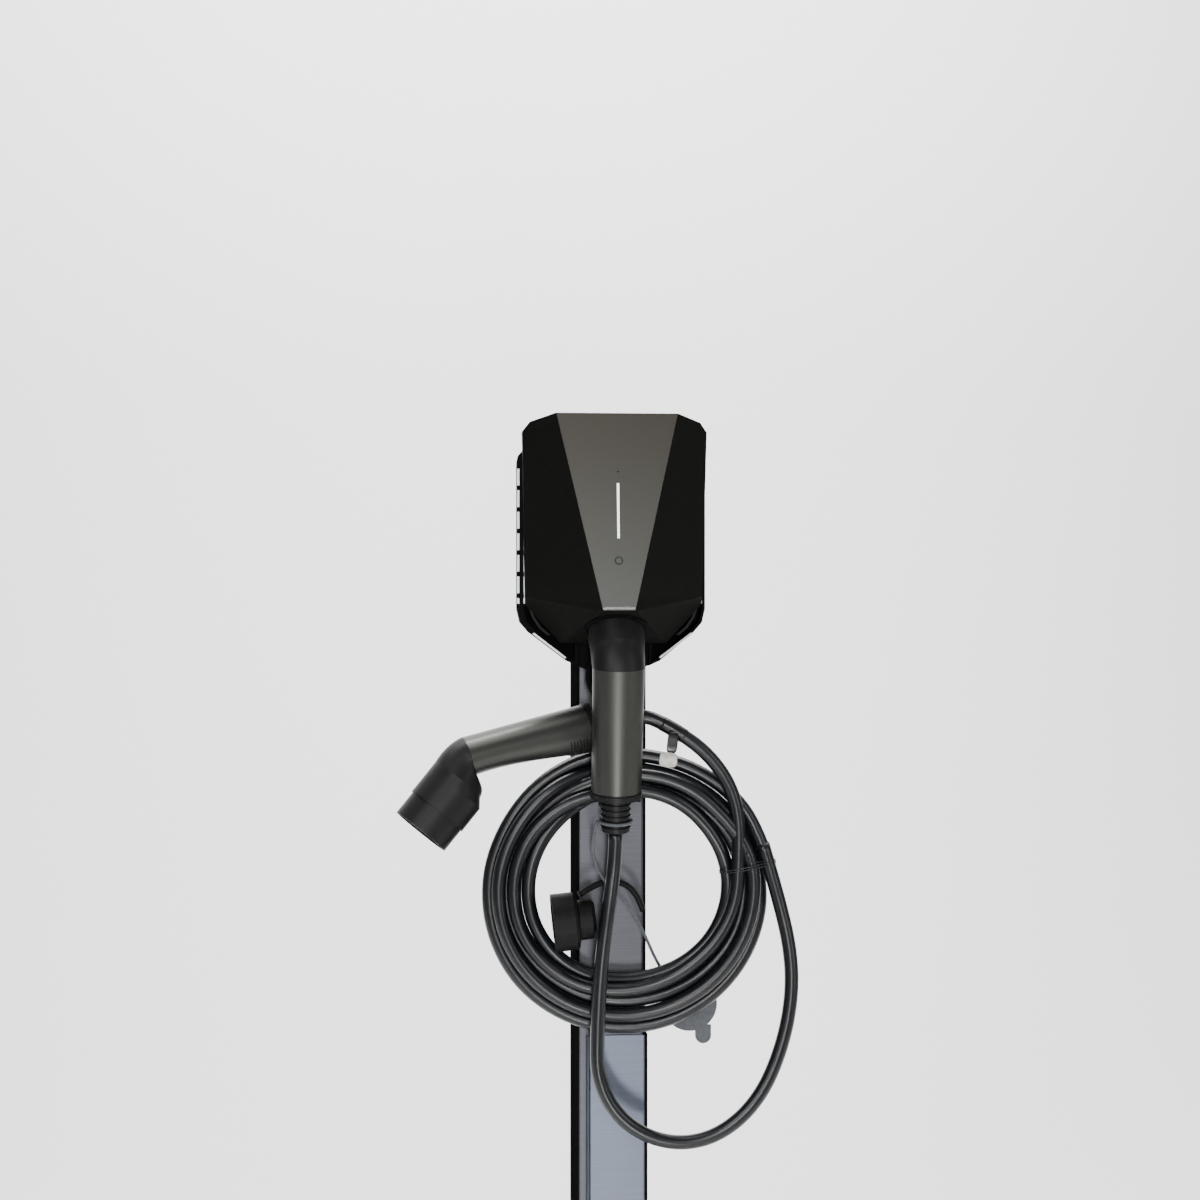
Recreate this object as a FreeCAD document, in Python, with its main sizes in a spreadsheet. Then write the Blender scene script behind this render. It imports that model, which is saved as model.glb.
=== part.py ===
import FreeCAD, Part
import math
import os

import Sketcher

# Electric-vehicle charging post: a steel post on a base plate carries a faceted wall charger
# whose socket faces down and forward. A charging cable with a plug at each end stays with it:
# one plug sits in the socket, the rest hangs in a coil on a holder. Millimetres, +Z up, the
# front faces -Y, and the origin is on the ground at the middle of the anchor holes.

V = FreeCAD.Vector
DOC = FreeCAD.newDocument("charging_post")

SIZES = {
    # post and base
    "base_side": 240, "base_thick": 12, "anchor_spacing": 190, "anchor_hole": 14,
    "duct_hole": 56, "post_width": 80, "post_depth": 100, "post_wall": 4, "post_corner": 6,
    "post_top": 1372, "cap_thick": 4, "cap_spigot": 14, "fit_gap": 0.4,
    # service door
    "door_low": 150, "door_high": 704, "door_left": -23, "door_right": 41.8,
    "door_sheet": 1.6, "door_flange": 22, "opening_left": -18, "opening_right": 30,
    "opening_margin": 16, "knuckle_radius": 2.4, "hinge_pin_radius": 1.1,
    "pin_clearance": 0.05, "hinge_offset": 3.2, "knuckle_count": 9, "lock_height": 330,
    "lock_across": 17, "lock_radius": 8, "cam_length": 24, "cam_width": 14, "cam_thick": 3,
    # charger
    "box_back": 53, "tray_wall": 3, "parting": 80, "chin_front": 72, "chin_height": 1147,
    "fascia_top_depth": 130, "fascia_foot_depth": 156, "fascia_top_half": 67,
    "fascia_foot_half": 17.7, "fascia_foot_height": 1184, "box_top": 1400, "box_half": 102.5,
    "corner_depth": 92, "cover_wall": 3, "fascia_thick": 2, "seal_thick": 1.5,
    "band_half": 107.5, "band_low": 1186, "band_high": 1355, "slot_count": 7,
    "slot_pitch": 24, "slot_length": 18.4, "slot_top": 1342, "slot_wide": 2.6, "slot_deep": 10,
    "sink_half": 99.2, "sink_plate": 3, "sink_flange": 2, "chin_half": 40,
    "bar_width": 2.4, "bar_height": 60, "bar_centre": 1293,
    # socket and plugs
    "socket_tilt": 26, "socket_setback": 44, "bezel_radius": 35.5, "mouth_radius": 32,
    "socket_radius": 36, "socket_depth": 54, "plug_radius": 31, "connector_radius": 35,
    "plug_seat": 15, "shroud_wall": 3, "shroud_gap": 1.5, "plug_shroud_length": 35,
    "connector_shroud_length": 28, "contact_radius": 2, "contact_circle": 15,
    "lid_radius": 32.5, "lid_thick": 4, "lid_hinge": 37, "lid_lift": 5, "lid_lean": 20,
    "lid_knuckle": 3, "lid_pin_radius": 1.5, "lock_pin_radius": 2.5, "lock_pin_depth": 32,
    "handle_bend": 36, "handle_length": 138, "handle_half": 28.5, "ring_length": 8,
    "ring_radius": 28, "gland_length": 39, "gland_radius": 16.5,
    # cable and its holder
    "cable_diameter": 16, "coil_centre_across": 21, "coil_centre_height": 870.7,
    "coil_radius": 134, "coil_half_width": 30, "coil_half_depth": 15, "coil_plane": 69.5,
    "holder_left": -14, "holder_right": 30, "holder_sheet": 3, "holder_reach": 38, "holder_lip": 26,
    "holder_back": 60, "strap_diameter": 8, "lanyard_diameter": 3.5,
}


def make_sheet():
    """The driving dimensions, one alias per cell."""
    sheet = DOC.addObject("Spreadsheet::Sheet", "sizes")
    for row, (name, value) in enumerate(SIZES.items(), start=1):
        sheet.set(f"A{row}", name)
        sheet.set(f"B{row}", str(value))
        sheet.setAlias(f"B{row}", name)
    DOC.recompute()
    return sheet


SHEET = make_sheet()
PIECES = []


def size(name):
    return float(SHEET.get(name))


def formula(text):
    """A formula of sheet aliases, such as 'post_width / 2', in FreeCAD's own form."""
    for name in sorted(SIZES, key=len, reverse=True):
        text = text.replace(name, f"<{list(SIZES).index(name)}>")
    for index, name in enumerate(SIZES):
        text = text.replace(f"<{index}>", f"sizes.{name}")
    return text


def value_of(text):
    """The number that a formula of sheet aliases stands for."""
    for name in sorted(SIZES, key=len, reverse=True):
        text = text.replace(name, f"<{list(SIZES).index(name)}>")
    for index, name in enumerate(SIZES):
        text = text.replace(f"<{index}>", str(size(name)))
    return float(FreeCAD.Units.Quantity(text).Value)


# ---------------------------------------------------------------- helpers for pieces

def keep(piece, label):
    piece.Label = label
    PIECES.append(piece)
    return piece


def solid_piece(label, shape):
    """A piece whose shape is worked out with Part's own functions."""
    piece = DOC.addObject("Part::Feature", label)
    piece.Shape = shape
    return keep(piece, label)


def set_all(piece, formulas):
    for prop, text in formulas.items():
        piece.setExpression(prop, formula(text))


def corner_at(piece, corner):
    set_all(piece, dict(zip(("Placement.Base.x", "Placement.Base.y", "Placement.Base.z"), corner)))


def block(name, edges, corner):
    """A box: edge lengths and lowest corner are formulas of the sheet."""
    piece = DOC.addObject("Part::Box", name)
    set_all(piece, dict(zip(("Length", "Width", "Height"), edges)))
    corner_at(piece, corner)
    return piece


def upright(name, radius, height, foot):
    """A cylinder standing along +Z."""
    piece = DOC.addObject("Part::Cylinder", name)
    set_all(piece, {"Radius": radius, "Height": height})
    corner_at(piece, foot)
    return piece


def lying(name, radius, length, start, turn):
    """A cylinder from a start point, turned by a fixed rotation."""
    piece = upright(name, radius, length, start)
    piece.Placement.Rotation = turn
    corner_at(piece, start)
    return piece


def fused(label, parts):
    piece = DOC.addObject("Part::MultiFuse", label)
    piece.Shapes = parts
    return keep(piece, label)


def cut_from(label, base, tool):
    piece = DOC.addObject("Part::Cut", label)
    piece.Base = base
    piece.Tool = tool
    return keep(piece, label)


def group_of(label, shapes):
    """Several separate solids that share one piece."""
    return solid_piece(label, Part.makeCompound(shapes))


ALONG_X = FreeCAD.Rotation(V(0, 1, 0), 90)
TO_FRONT = FreeCAD.Rotation(V(1, 0, 0), 90)


# ---------------------------------------------------------------- helpers for bodies

def new_body(label):
    body = DOC.addObject("PartDesign::Body", label)
    DOC.recompute()
    return keep(body, label)


def sketch_on(body, role, lift="0"):
    plane = [item for item in body.Origin.OriginFeatures if item.Role == role][0]
    sketch = body.newObject("Sketcher::SketchObject", f"{body.Name}_sketch")
    sketch.AttachmentSupport = [(plane, "")]
    sketch.MapMode = "FlatFace"
    sketch.setExpression("AttachmentOffset.Base.z", formula(lift))
    return sketch


def bound(sketch, kind, refs, text):
    index = sketch.addConstraint(Sketcher.Constraint(kind, *refs, value_of(text)))
    sketch.renameConstraint(index, f"size{index}")
    sketch.setExpression(f"Constraints.size{index}", formula(text))


def outline(sketch, corners):
    """A closed outline of straight sides; each corner is a pair of formulas."""
    first = sketch.GeometryCount
    places = [V(value_of(a), value_of(b), 0) for a, b in corners]
    count = len(places)
    for i, place in enumerate(places):
        sketch.addGeometry(Part.LineSegment(place, places[(i + 1) % count]), False)
    for i, (across, up) in enumerate(corners):
        sketch.addConstraint(
            Sketcher.Constraint("Coincident", first + i, 2, first + (i + 1) % count, 1))
        bound(sketch, "DistanceX", (-1, 1, first + i, 1), across)
        bound(sketch, "DistanceY", (-1, 1, first + i, 1), up)


def rectangle(sketch, left, right, low, high):
    outline(sketch, [(left, low), (right, low), (right, high), (left, high)])


def round_hole(sketch, across, up, radius):
    index = sketch.GeometryCount
    centre = V(value_of(across), value_of(up), 0)
    sketch.addGeometry(Part.Circle(centre, V(0, 0, 1), value_of(radius)), False)
    bound(sketch, "DistanceX", (-1, 1, index, 3), across)
    bound(sketch, "DistanceY", (-1, 1, index, 3), up)
    bound(sketch, "Radius", (index,), radius)


def pad(body, sketch, length):
    feature = body.newObject("PartDesign::Pad", f"{body.Name}_pad")
    feature.Profile = sketch
    feature.setExpression("Length", formula(length))
    DOC.recompute()
    return feature


def pocket(body, sketch, length):
    """Cuts away from the sketch against its normal, and must remove something."""
    before = body.Shape.Volume
    feature = body.newObject("PartDesign::Pocket", f"{body.Name}_pocket")
    feature.Profile = sketch
    feature.setExpression("Length", formula(length))
    DOC.recompute()
    if not body.Shape.Volume < before - 0.01:
        raise RuntimeError(f"{body.Label}: a pocket cut nothing")
    return feature


def round_uprights(body, feature, radius):
    """Fillets the outer upright edges of a straight pad."""
    names = []
    box = feature.Shape.BoundBox
    for index, edge in enumerate(feature.Shape.Edges, start=1):
        ends = [vertex.Point for vertex in edge.Vertexes]
        if len(ends) == 2 and (ends[0] - ends[1]).cross(V(0, 0, 1)).Length < 1e-6:
            if abs(abs(ends[0].x) - box.XMax) < 1e-6 and abs(abs(ends[0].y) - box.YMax) < 1e-6:
                names.append(f"Edge{index}")
    fillet = body.newObject("PartDesign::Fillet", f"{body.Name}_fillet")
    fillet.Base = (feature, names)
    fillet.setExpression("Radius", formula(radius))
    DOC.recompute()


# ---------------------------------------------------------------- base and post

def make_base_plate():
    body = new_body("base_plate")
    plate = sketch_on(body, "XY_Plane")
    half = "base_side / 2"
    rectangle(plate, f"-{half}", half, f"-{half}", half)
    feature = pad(body, plate, "base_thick")
    round_uprights(body, feature, "post_corner * 2")
    holes = sketch_on(body, "XY_Plane", "base_thick")
    for across in ("-anchor_spacing / 2", "anchor_spacing / 2"):
        for back in ("-anchor_spacing / 2", "anchor_spacing / 2"):
            round_hole(holes, across, back, "anchor_hole / 2")
    round_hole(holes, "0", "0", "duct_hole / 2")
    pocket(body, holes, "base_thick")


def make_post_tube():
    body = new_body("post_tube")
    body.setExpression("Placement.Base.z", formula("base_thick"))
    outer = sketch_on(body, "XY_Plane")
    rectangle(outer, "-post_width / 2", "post_width / 2", "-post_depth / 2", "post_depth / 2")
    feature = pad(body, outer, "post_top - base_thick")
    round_uprights(body, feature, "post_corner")
    inner = sketch_on(body, "XY_Plane", "post_top - base_thick")
    rectangle(inner, "-post_width / 2 + post_wall", "post_width / 2 - post_wall",
              "-post_depth / 2 + post_wall", "post_depth / 2 - post_wall")
    pocket(body, inner, "post_top - base_thick")
    opening = sketch_on(body, "XZ_Plane", "post_depth / 2")
    rectangle(opening, "opening_left", "opening_right",
              "door_low + opening_margin - base_thick", "door_high - opening_margin - base_thick")
    pocket(body, opening, "post_wall")
    duct = sketch_on(body, "XZ_Plane", "post_depth / 2")
    round_hole(duct, "0", "band_high - 100 - base_thick", "14")
    pocket(body, duct, "post_wall")


def make_post_cap():
    lid = block("cap_plate", ("post_width", "post_depth", "cap_thick"),
                ("-post_width / 2", "-post_depth / 2", "post_top"))
    inset = "post_wall + fit_gap"
    spigot = block("cap_spigot_block",
                   (f"post_width - 2 * ({inset})", f"post_depth - 2 * ({inset})", "cap_spigot"),
                   (f"-post_width / 2 + {inset}", f"-post_depth / 2 + {inset}",
                    "post_top - cap_spigot"))
    fused("post_cap", [lid, spigot])


# ---------------------------------------------------------------- service door

def hinge_y():
    return -(size("post_depth") / 2 + size("knuckle_radius"))


def hinge_x():
    return size("door_left") - size("hinge_offset")


def make_door():
    """A sheet over the opening that wraps round the post's right corner, hinged at its left."""
    sheet = size("door_sheet")
    gap = size("fit_gap")
    front = -size("post_depth") / 2 - gap
    low = size("door_low")
    tall = size("door_high") - low
    left = size("door_left")
    right = size("door_right")
    plate = Part.makeBox(right - left, sheet, tall, V(left, front - sheet, low))
    flange = Part.makeBox(sheet, size("door_flange"), tall, V(right - sheet, front - sheet, low))
    door = plate.fuse(flange).removeSplitter()
    corner = [edge for edge in door.Edges if edge.BoundBox.ZLength > tall - 1
              and abs(edge.BoundBox.XMax - right) < 0.01
              and abs(edge.BoundBox.YMin - (front - sheet)) < 0.01]
    door = door.makeFillet(size("post_corner") * 0.9, corner)
    inner = [edge for edge in door.Edges if edge.BoundBox.ZLength > tall - 1
             and abs(edge.BoundBox.XMax - (right - sheet)) < 0.01
             and abs(edge.BoundBox.YMax - front) < 0.01]
    door = door.makeFillet(size("post_corner") * 0.7, inner)
    hole = Part.makeCylinder(size("lock_radius") + gap, sheet * 4,
                             V(size("lock_across"), front + sheet, size("lock_height")),
                             V(0, -1, 0))
    solid_piece("service_door", door.cut(hole))


def knuckles(label, parity, foot):
    """Every second knuckle of the door's hinge, each with a foot to its own side."""
    count = int(size("knuckle_count"))
    pitch = (size("door_high") - size("door_low")) / count
    clearance = size("fit_gap")
    radius = size("knuckle_radius")
    bore = size("hinge_pin_radius") + size("pin_clearance")
    shapes = []
    for index in range(parity, count, 2):
        low = size("door_low") + index * pitch + clearance / 2
        length = pitch - clearance
        axis = V(hinge_x(), hinge_y(), low)
        barrel = Part.makeCylinder(radius, length, axis)
        barrel = barrel.fuse(foot(low, length))
        shapes.append(barrel.cut(Part.makeCylinder(bore, length, axis)).removeSplitter())
    group_of(label, shapes)


def post_foot(low, length):
    """A weld foot from the barrel back to the post's face."""
    radius = size("knuckle_radius")
    return Part.makeBox(radius * 1.6, radius, length,
                        V(hinge_x() - radius, hinge_y(), low))


def door_foot(low, length):
    """A leaf from the barrel to the door's left edge."""
    front = -size("post_depth") / 2 - size("fit_gap")
    reach = size("door_left") - hinge_x()
    return Part.makeBox(reach, size("door_sheet"), length,
                        V(hinge_x(), front - size("door_sheet"), low))


def make_door_hinge():
    knuckles("hinge_knuckles_post", 0, post_foot)
    knuckles("hinge_knuckles_door", 1, door_foot)
    pin = upright("hinge_pin", "hinge_pin_radius", "door_high - door_low",
                  ("door_left - hinge_offset", "-post_depth / 2 - knuckle_radius", "door_low"))
    keep(pin, "hinge_pin")


def make_door_lock():
    """A quarter-turn lock: barrel through the door, tongue behind the post's wall when shut."""
    gap = size("fit_gap")
    front = -size("post_depth") / 2 - gap - size("door_sheet")
    across, height = size("lock_across"), size("lock_height")
    wall_inside = -size("post_depth") / 2 + size("post_wall")
    head = Part.makeCylinder(size("lock_radius") + 2.5, 2, V(across, front, height), V(0, -1, 0))
    barrel = Part.makeCylinder(size("lock_radius"), wall_inside + 2 * gap - front + 2,
                               V(across, front - 2, height), V(0, 1, 0))
    key = Part.makeBox(6, 4, 6, V(across - 3, front - 3, height - 3))
    solid_piece("door_lock", head.fuse(barrel).cut(key).removeSplitter())
    start = wall_inside + 2 * gap
    tongue = Part.makeBox(size("cam_width"), size("cam_thick"), size("cam_length"),
                          V(across - size("cam_width") / 2, start, height - size("cam_width") / 2))
    solid_piece("door_cam", tongue)


def make_post_wiring():
    """Rail, fused terminals and earth stud behind the door, fixed to the post's back wall."""
    back = "post_depth / 2 - post_wall"
    rail = block("terminal_rail", ("56", "7.5", "35"), ("-28", f"{back} - 7.5", "420"))
    keep(rail, "terminal_rail")
    housings = []
    for index in range(5):
        housing = Part.makeBox(9, 38, 48, V(-25 + index * 10.2, 0, 413.5))
        housing.translate(V(0, size("post_depth") / 2 - size("post_wall") - 7.5 - 38, 0))
        housings.append(housing)
    group_of("supply_terminals", housings)


# ---------------------------------------------------------------- charger housing

def prism(points, near, deep):
    """A straight-sided solid: an outline in X and Z, from depth near to depth deep."""
    wire = Part.makePolygon([V(x, -near, z) for x, z in points + points[:1]])
    return Part.Face(wire).extrude(V(0, near - deep, 0))


def mirrored(half):
    """A closed outline from the points of its right half, listed from the top down."""
    return half + [(-x, z) for x, z in reversed(half)]


def cover_half():
    half = size("box_half")
    foot = size("chin_height")
    chin = size("chin_half") + 2
    return [(size("fascia_top_half"), size("box_top")), (half - 8, size("box_top") - 8),
            (half, size("box_top") - 18), (half - 4, foot + 42), (half - 9, foot + 28),
            (half - 17, foot + 16), (chin + 8, foot - 15), (chin, foot - 15), (chin, foot + 0.5)]


def tray_side(half, band):
    """One side of the rear housing's outline; the band is the ribbed part that stands out."""
    top, high, low = size("box_top"), size("band_high"), size("band_low")
    return [(size("fascia_top_half") - 1, top - 4), (half - 9.5, top - 12), (half - 2.5, top - 20),
            (half - 2.5, high + 9), (band - 1.5, high + 2), (band, high - 5), (band, low),
            (band - 3.5, low - 15), (band - 13, low - 26), (52, 1128), (23, 1115)]


def tray_outline(left_band):
    """The band stands out on the left and is almost flush with the cover on the right."""
    half = size("box_half")
    left = [(-x, z) for x, z in tray_side(half, left_band)]
    return tray_side(half, half + 0.6) + left[::-1]


def shrunk(points, wall, near, deep):
    """The prism of an outline moved inwards by a wall."""
    wire = Part.makePolygon([V(x, -near, z) for x, z in points + points[:1]])
    face = Part.Face(wire).makeOffset2D(-wall, 2)
    return Part.Face(face.Wires[0]).extrude(V(0, near - deep, 0))


def plane_through(a, b, c, inside):
    """A point and the outward normal of the plane through three points."""
    normal = (b - a).cross(c - a).normalize()
    if normal.dot(inside - a) > 0:
        normal = normal * -1
    return a, normal


def trimmed(shape, plane, shift):
    """What is left of a shape behind a plane moved outwards by shift."""
    point, normal = plane
    slab = Part.makeBox(1000, 1000, 500, V(-500, -500, 0))
    slab.Placement = FreeCAD.Placement(point + normal * shift,
                                       FreeCAD.Rotation(V(0, 0, 1), normal))
    return shape.cut(slab)


def cover_planes():
    """Fascia, side facets, lower facets and the facet that the socket stands in."""
    middle = V(0, -size("parting") - 5, 1290)
    planes = []
    tilt = math.radians(size("socket_tilt"))
    foot_z = size("fascia_foot_height")
    foot = V(0, -size("fascia_foot_depth"), foot_z)
    top = V(0, -size("fascia_top_depth"), size("box_top"))
    planes.append(plane_through(foot, top, top + V(50, 0, 0), middle))
    planes.append((foot, V(0, -math.sin(tilt), -math.cos(tilt))))
    half = size("box_half")
    for side in (1, -1):
        upper = V(side * size("fascia_top_half"), top.y, top.z)
        lower = V(side * size("fascia_foot_half"), foot.y, foot_z)
        corner = V(side * half, -size("corner_depth"), 1280)
        facet = plane_through(upper, lower, corner, middle)
        planes.append(facet)
        shoulder = on_plane(facet, side * (half - 2.5), foot_z + 16)
        rim = V(side * (size("chin_half") + 6), -size("parting"), size("chin_height") - 15)
        planes.append(plane_through(lower, shoulder, rim, middle))
    return planes


def on_plane(plane, x, z):
    """The point of a plane at a given x and z."""
    point, normal = plane
    y = point.y - (normal.x * (x - point.x) + normal.z * (z - point.z)) / normal.y
    return V(x, y, z)


def faceted(shift, near):
    """The cover's outer form, or its inner form when shift is negative."""
    if shift:
        shape = shrunk(mirrored(cover_half()), -shift, near, size("fascia_foot_depth") + 10)
    else:
        shape = prism(mirrored(cover_half()), near, size("fascia_foot_depth") + 10)
    for plane in cover_planes():
        shape = trimmed(shape, plane, shift)
    return shape


def socket_frame(along=0.0):
    """Z runs out of the socket, Y to the front, X to the right; along is out of the mouth."""
    tilt = math.radians(size("socket_tilt"))
    out = V(0, -math.sin(tilt), -math.cos(tilt))
    back = V(0, math.cos(tilt), -math.sin(tilt))
    foot = V(0, -size("fascia_foot_depth"), size("fascia_foot_height"))
    place = foot + back * size("socket_setback") + out * along
    return FreeCAD.Placement(place, FreeCAD.Rotation(V(1, 0, 0), 180 - size("socket_tilt")))


def fascia_form(thick, grow):
    """The panel's slab, its outline grown by a clearance."""
    top, foot = size("box_top"), size("fascia_foot_height")
    wide, narrow = size("fascia_top_half") - 0.5 + grow, size("fascia_foot_half") - 0.3 + grow
    points = mirrored([(wide, top + grow), (narrow, foot + 0.8 - grow)])
    slab = prism(points, size("corner_depth"), size("fascia_foot_depth") + 10)
    fascia = cover_planes()[0]
    outer = trimmed(slab, fascia, 0.3)
    return outer.cut(trimmed(slab, fascia, -thick))


def light_bar(grow):
    wide, tall = size("bar_width") + 2 * grow, size("bar_height") + 2 * grow
    low = size("bar_centre") - tall / 2
    slab = Part.makeBox(wide, 60, tall, V(-wide / 2, -size("fascia_foot_depth") - 5, low))
    fascia = cover_planes()[0]
    return trimmed(slab, fascia, 0.3).cut(trimmed(slab, fascia, -size("cover_wall") - 8))


def make_cover():
    near = size("parting") + size("seal_thick")
    shell = faceted(0, near).cut(faceted(-size("cover_wall"), near - 1))
    bore = Part.makeCylinder(size("bezel_radius") + size("fit_gap"), 90, V(0, 0, -45))
    bore.Placement = socket_frame()
    shell = shell.cut(bore).cut(fascia_form(size("fascia_thick"), 0.15))
    shell = shell.cut(light_bar(0.1))
    shell = max(shell.Solids, key=lambda item: item.Volume)
    solid_piece("front_cover", shell)
    panel = fascia_form(size("fascia_thick"), 0)
    solid_piece("fascia", panel.cut(light_bar(0.1)))
    solid_piece("light_guide", light_bar(0))


def slot_places():
    """Low and high ends of the slots down each side of the housing."""
    places = []
    for index in range(int(size("slot_count"))):
        high = size("slot_top") - index * size("slot_pitch")
        places.append((max(high - size("slot_length"), size("band_low") + 0.5), high))
    return places


def side_bars(low, high, gap):
    """Tongues through the housing's walls; on the left each carries a fin at the front edge."""
    parting, deep, wide = size("parting"), size("slot_deep"), size("slot_wide")
    bars = []
    inner, left, right = size("sink_half") - size("sink_flange"), size("band_half"), size("box_half")
    beyond = 9 if gap else 0
    for side, first, last, start in ((-1, inner, left, 5), (1, inner, right + 0.6, 5),
                                     (-1, left - wide, left - 0.2, 0.4 - beyond)):
        long = last + beyond - (0.2 if not gap else 0) - first + gap
        bar = Part.makeBox(long, deep - start + gap, high - low + 2 * gap)
        bar.translate(V(first - gap if side > 0 else gap - first - long, start - parting, low - gap))
        bars.append(bar)
    return bars


def make_tray():
    back, parting = size("box_back"), size("parting")
    wall, chin = size("tray_wall"), size("chin_front")
    points = tray_outline(size("band_half"))
    height, half = size("chin_height"), size("chin_half")
    step = Part.makeBox(2 * half, parting, height - 1000, V(-half, -chin - parting, 1000))
    outer = prism(points, back, parting).cut(step)
    inside = tray_outline(size("box_half") + 0.6)
    room = shrunk(inside, wall, back + wall, parting + 1)
    closed = Part.makeBox(2 * (half + wall), parting, height + wall - 1000,
                          V(-half - wall, -chin + wall - parting, 1000))
    tray = outer.cut(room.cut(closed))
    for low, high in slot_places():
        tray = tray.cut(Part.makeCompound(side_bars(low, high, 0.25)))
    duct = Part.makeCylinder(14, 20, V(0, -back + 5, size("band_high") - 100), V(0, -1, 0))
    bore = Part.makeCylinder(size("socket_radius") + 1, 100, V(0, 0, -80))
    bore.Placement = socket_frame()
    solid_piece("rear_housing", tray.cut(duct).cut(bore))


def make_seal():
    points = cover_half()
    wide = 2 * size("band_half")
    near, deep = size("parting"), size("parting") + size("seal_thick")
    ring = shrunk(mirrored(points), 3.0, near, deep).cut(shrunk(mirrored(points), 5.5, near, deep))
    floor = Part.makeBox(wide, 50, 200, V(-wide / 2, -deep - 20, size("chin_height") - 190))
    solid_piece("cover_seal", ring.cut(floor))


def make_heat_sink():
    """A folded aluminium plate whose fins come out through the side slots."""
    start = size("box_back") + size("tray_wall") + 0.3
    half, plate, flange = size("sink_half"), size("sink_plate"), size("sink_flange")
    low, tall = size("band_low") + 6, size("band_high") - size("band_low") - 12
    sink = Part.makeBox(2 * half, plate, tall, V(-half, -start - plate, low))
    for left in (-half, half - flange):
        sink = sink.fuse(Part.makeBox(flange, 18, tall, V(left, -start - 18, low)))
    fins = []
    for foot, high in slot_places():
        fins += side_bars(max(foot, low), high, 0)
    sink = sink.fuse(fins)
    duct = Part.makeCylinder(14, 30, V(0, -size("box_back") + 5, size("band_high") - 100),
                             V(0, -1, 0))
    bore = Part.makeCylinder(size("socket_radius") + 1, 100, V(0, 0, -80))
    bore.Placement = socket_frame()
    solid_piece("heat_sink", sink.removeSplitter().cut(duct).cut(bore))


def make_electronics():
    """What the charger holds, from the heat sink forwards."""
    front = size("box_back") + size("tray_wall") + 0.3 + size("sink_plate") + 0.4
    keep(block("main_board", ("156", "1.6", "128"), ("-78", f"-{front} - 1.6 - 5", "1240")),
         "main_board")
    face = f"-{front} - 1.6 - 5.4"
    keep(block("contactor", ("52", "40", "46"), ("-74", f"{face} - 40", "1310")), "contactor")
    keep(block("power_terminals", ("58", "24", "18"), ("12", f"{face} - 24", "1246")),
         "power_terminals")
    core = Part.makeCylinder(17, 18, V(46, value_of(face), 1320), V(0, -1, 0))
    hole = Part.makeCylinder(9, 18, V(46, value_of(face), 1320), V(0, -1, 0))
    solid_piece("current_sensor", core.cut(hole))
    behind = size("cover_wall") + 8.4
    slab = Part.makeBox(26, 60, 100, V(-13, -size("fascia_foot_depth") - 5, 1243))
    fascia = cover_planes()[0]
    led = trimmed(slab, fascia, -behind).cut(trimmed(slab, fascia, -behind - 1.6))
    solid_piece("led_board", led)
    ring = Part.makeBox(40, 60, 40, V(-20, -size("fascia_foot_depth") - 5, 1346))
    reader = trimmed(ring, fascia, -size("cover_wall") - 0.6)
    reader = reader.cut(trimmed(ring, fascia, -size("cover_wall") - 2.2))
    solid_piece("card_reader", reader)


def make_bracket():
    sheet = "box_back - post_depth / 2"
    plate = block("bracket_plate", ("70", sheet, "200"), ("-35", "-box_back", "1155"))
    opening = lying("bracket_duct", "14", "10", ("0", "-post_depth / 2 + 1", "band_high - 100"),
                    TO_FRONT)
    cut_from("wall_bracket", plate, opening)
    screws = []
    for x in (-27, 27):
        for z in (1170, 1342):
            start = V(x, -size("box_back") - size("tray_wall"), z)
            screws.append(Part.makeCylinder(2.4, 8, start, V(0, 1, 0)))
    sockets = Part.makeCompound(screws)
    for name in ("rear_housing", "wall_bracket", "post_tube"):
        drill_for_screws(name, sockets)
    group_of("bracket_screws", screws)


def drill_for_screws(name, screws):
    """Clears a finished piece of the screws that pass through it."""
    piece = [item for item in PIECES if item.Label == name][0]
    DOC.recompute()
    PIECES.remove(piece)
    shape = piece.Shape.cut(screws)
    drilled = DOC.addObject("Part::Feature", f"{name}_drilled")
    drilled.Shape = shape
    piece.Label = f"{name}_blank"
    keep(drilled, name)


# ---------------------------------------------------------------- socket

def contact_places():
    """Seven contacts: one in the middle, five round it and two small ones at the top."""
    ring = size("contact_circle")
    places = [(0.0, 0.0)]
    for angle in (180, 234, 306, 0, 62, 118):
        turn = math.radians(angle)
        places.append((ring * math.cos(turn), ring * math.sin(turn)))
    return places


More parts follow.
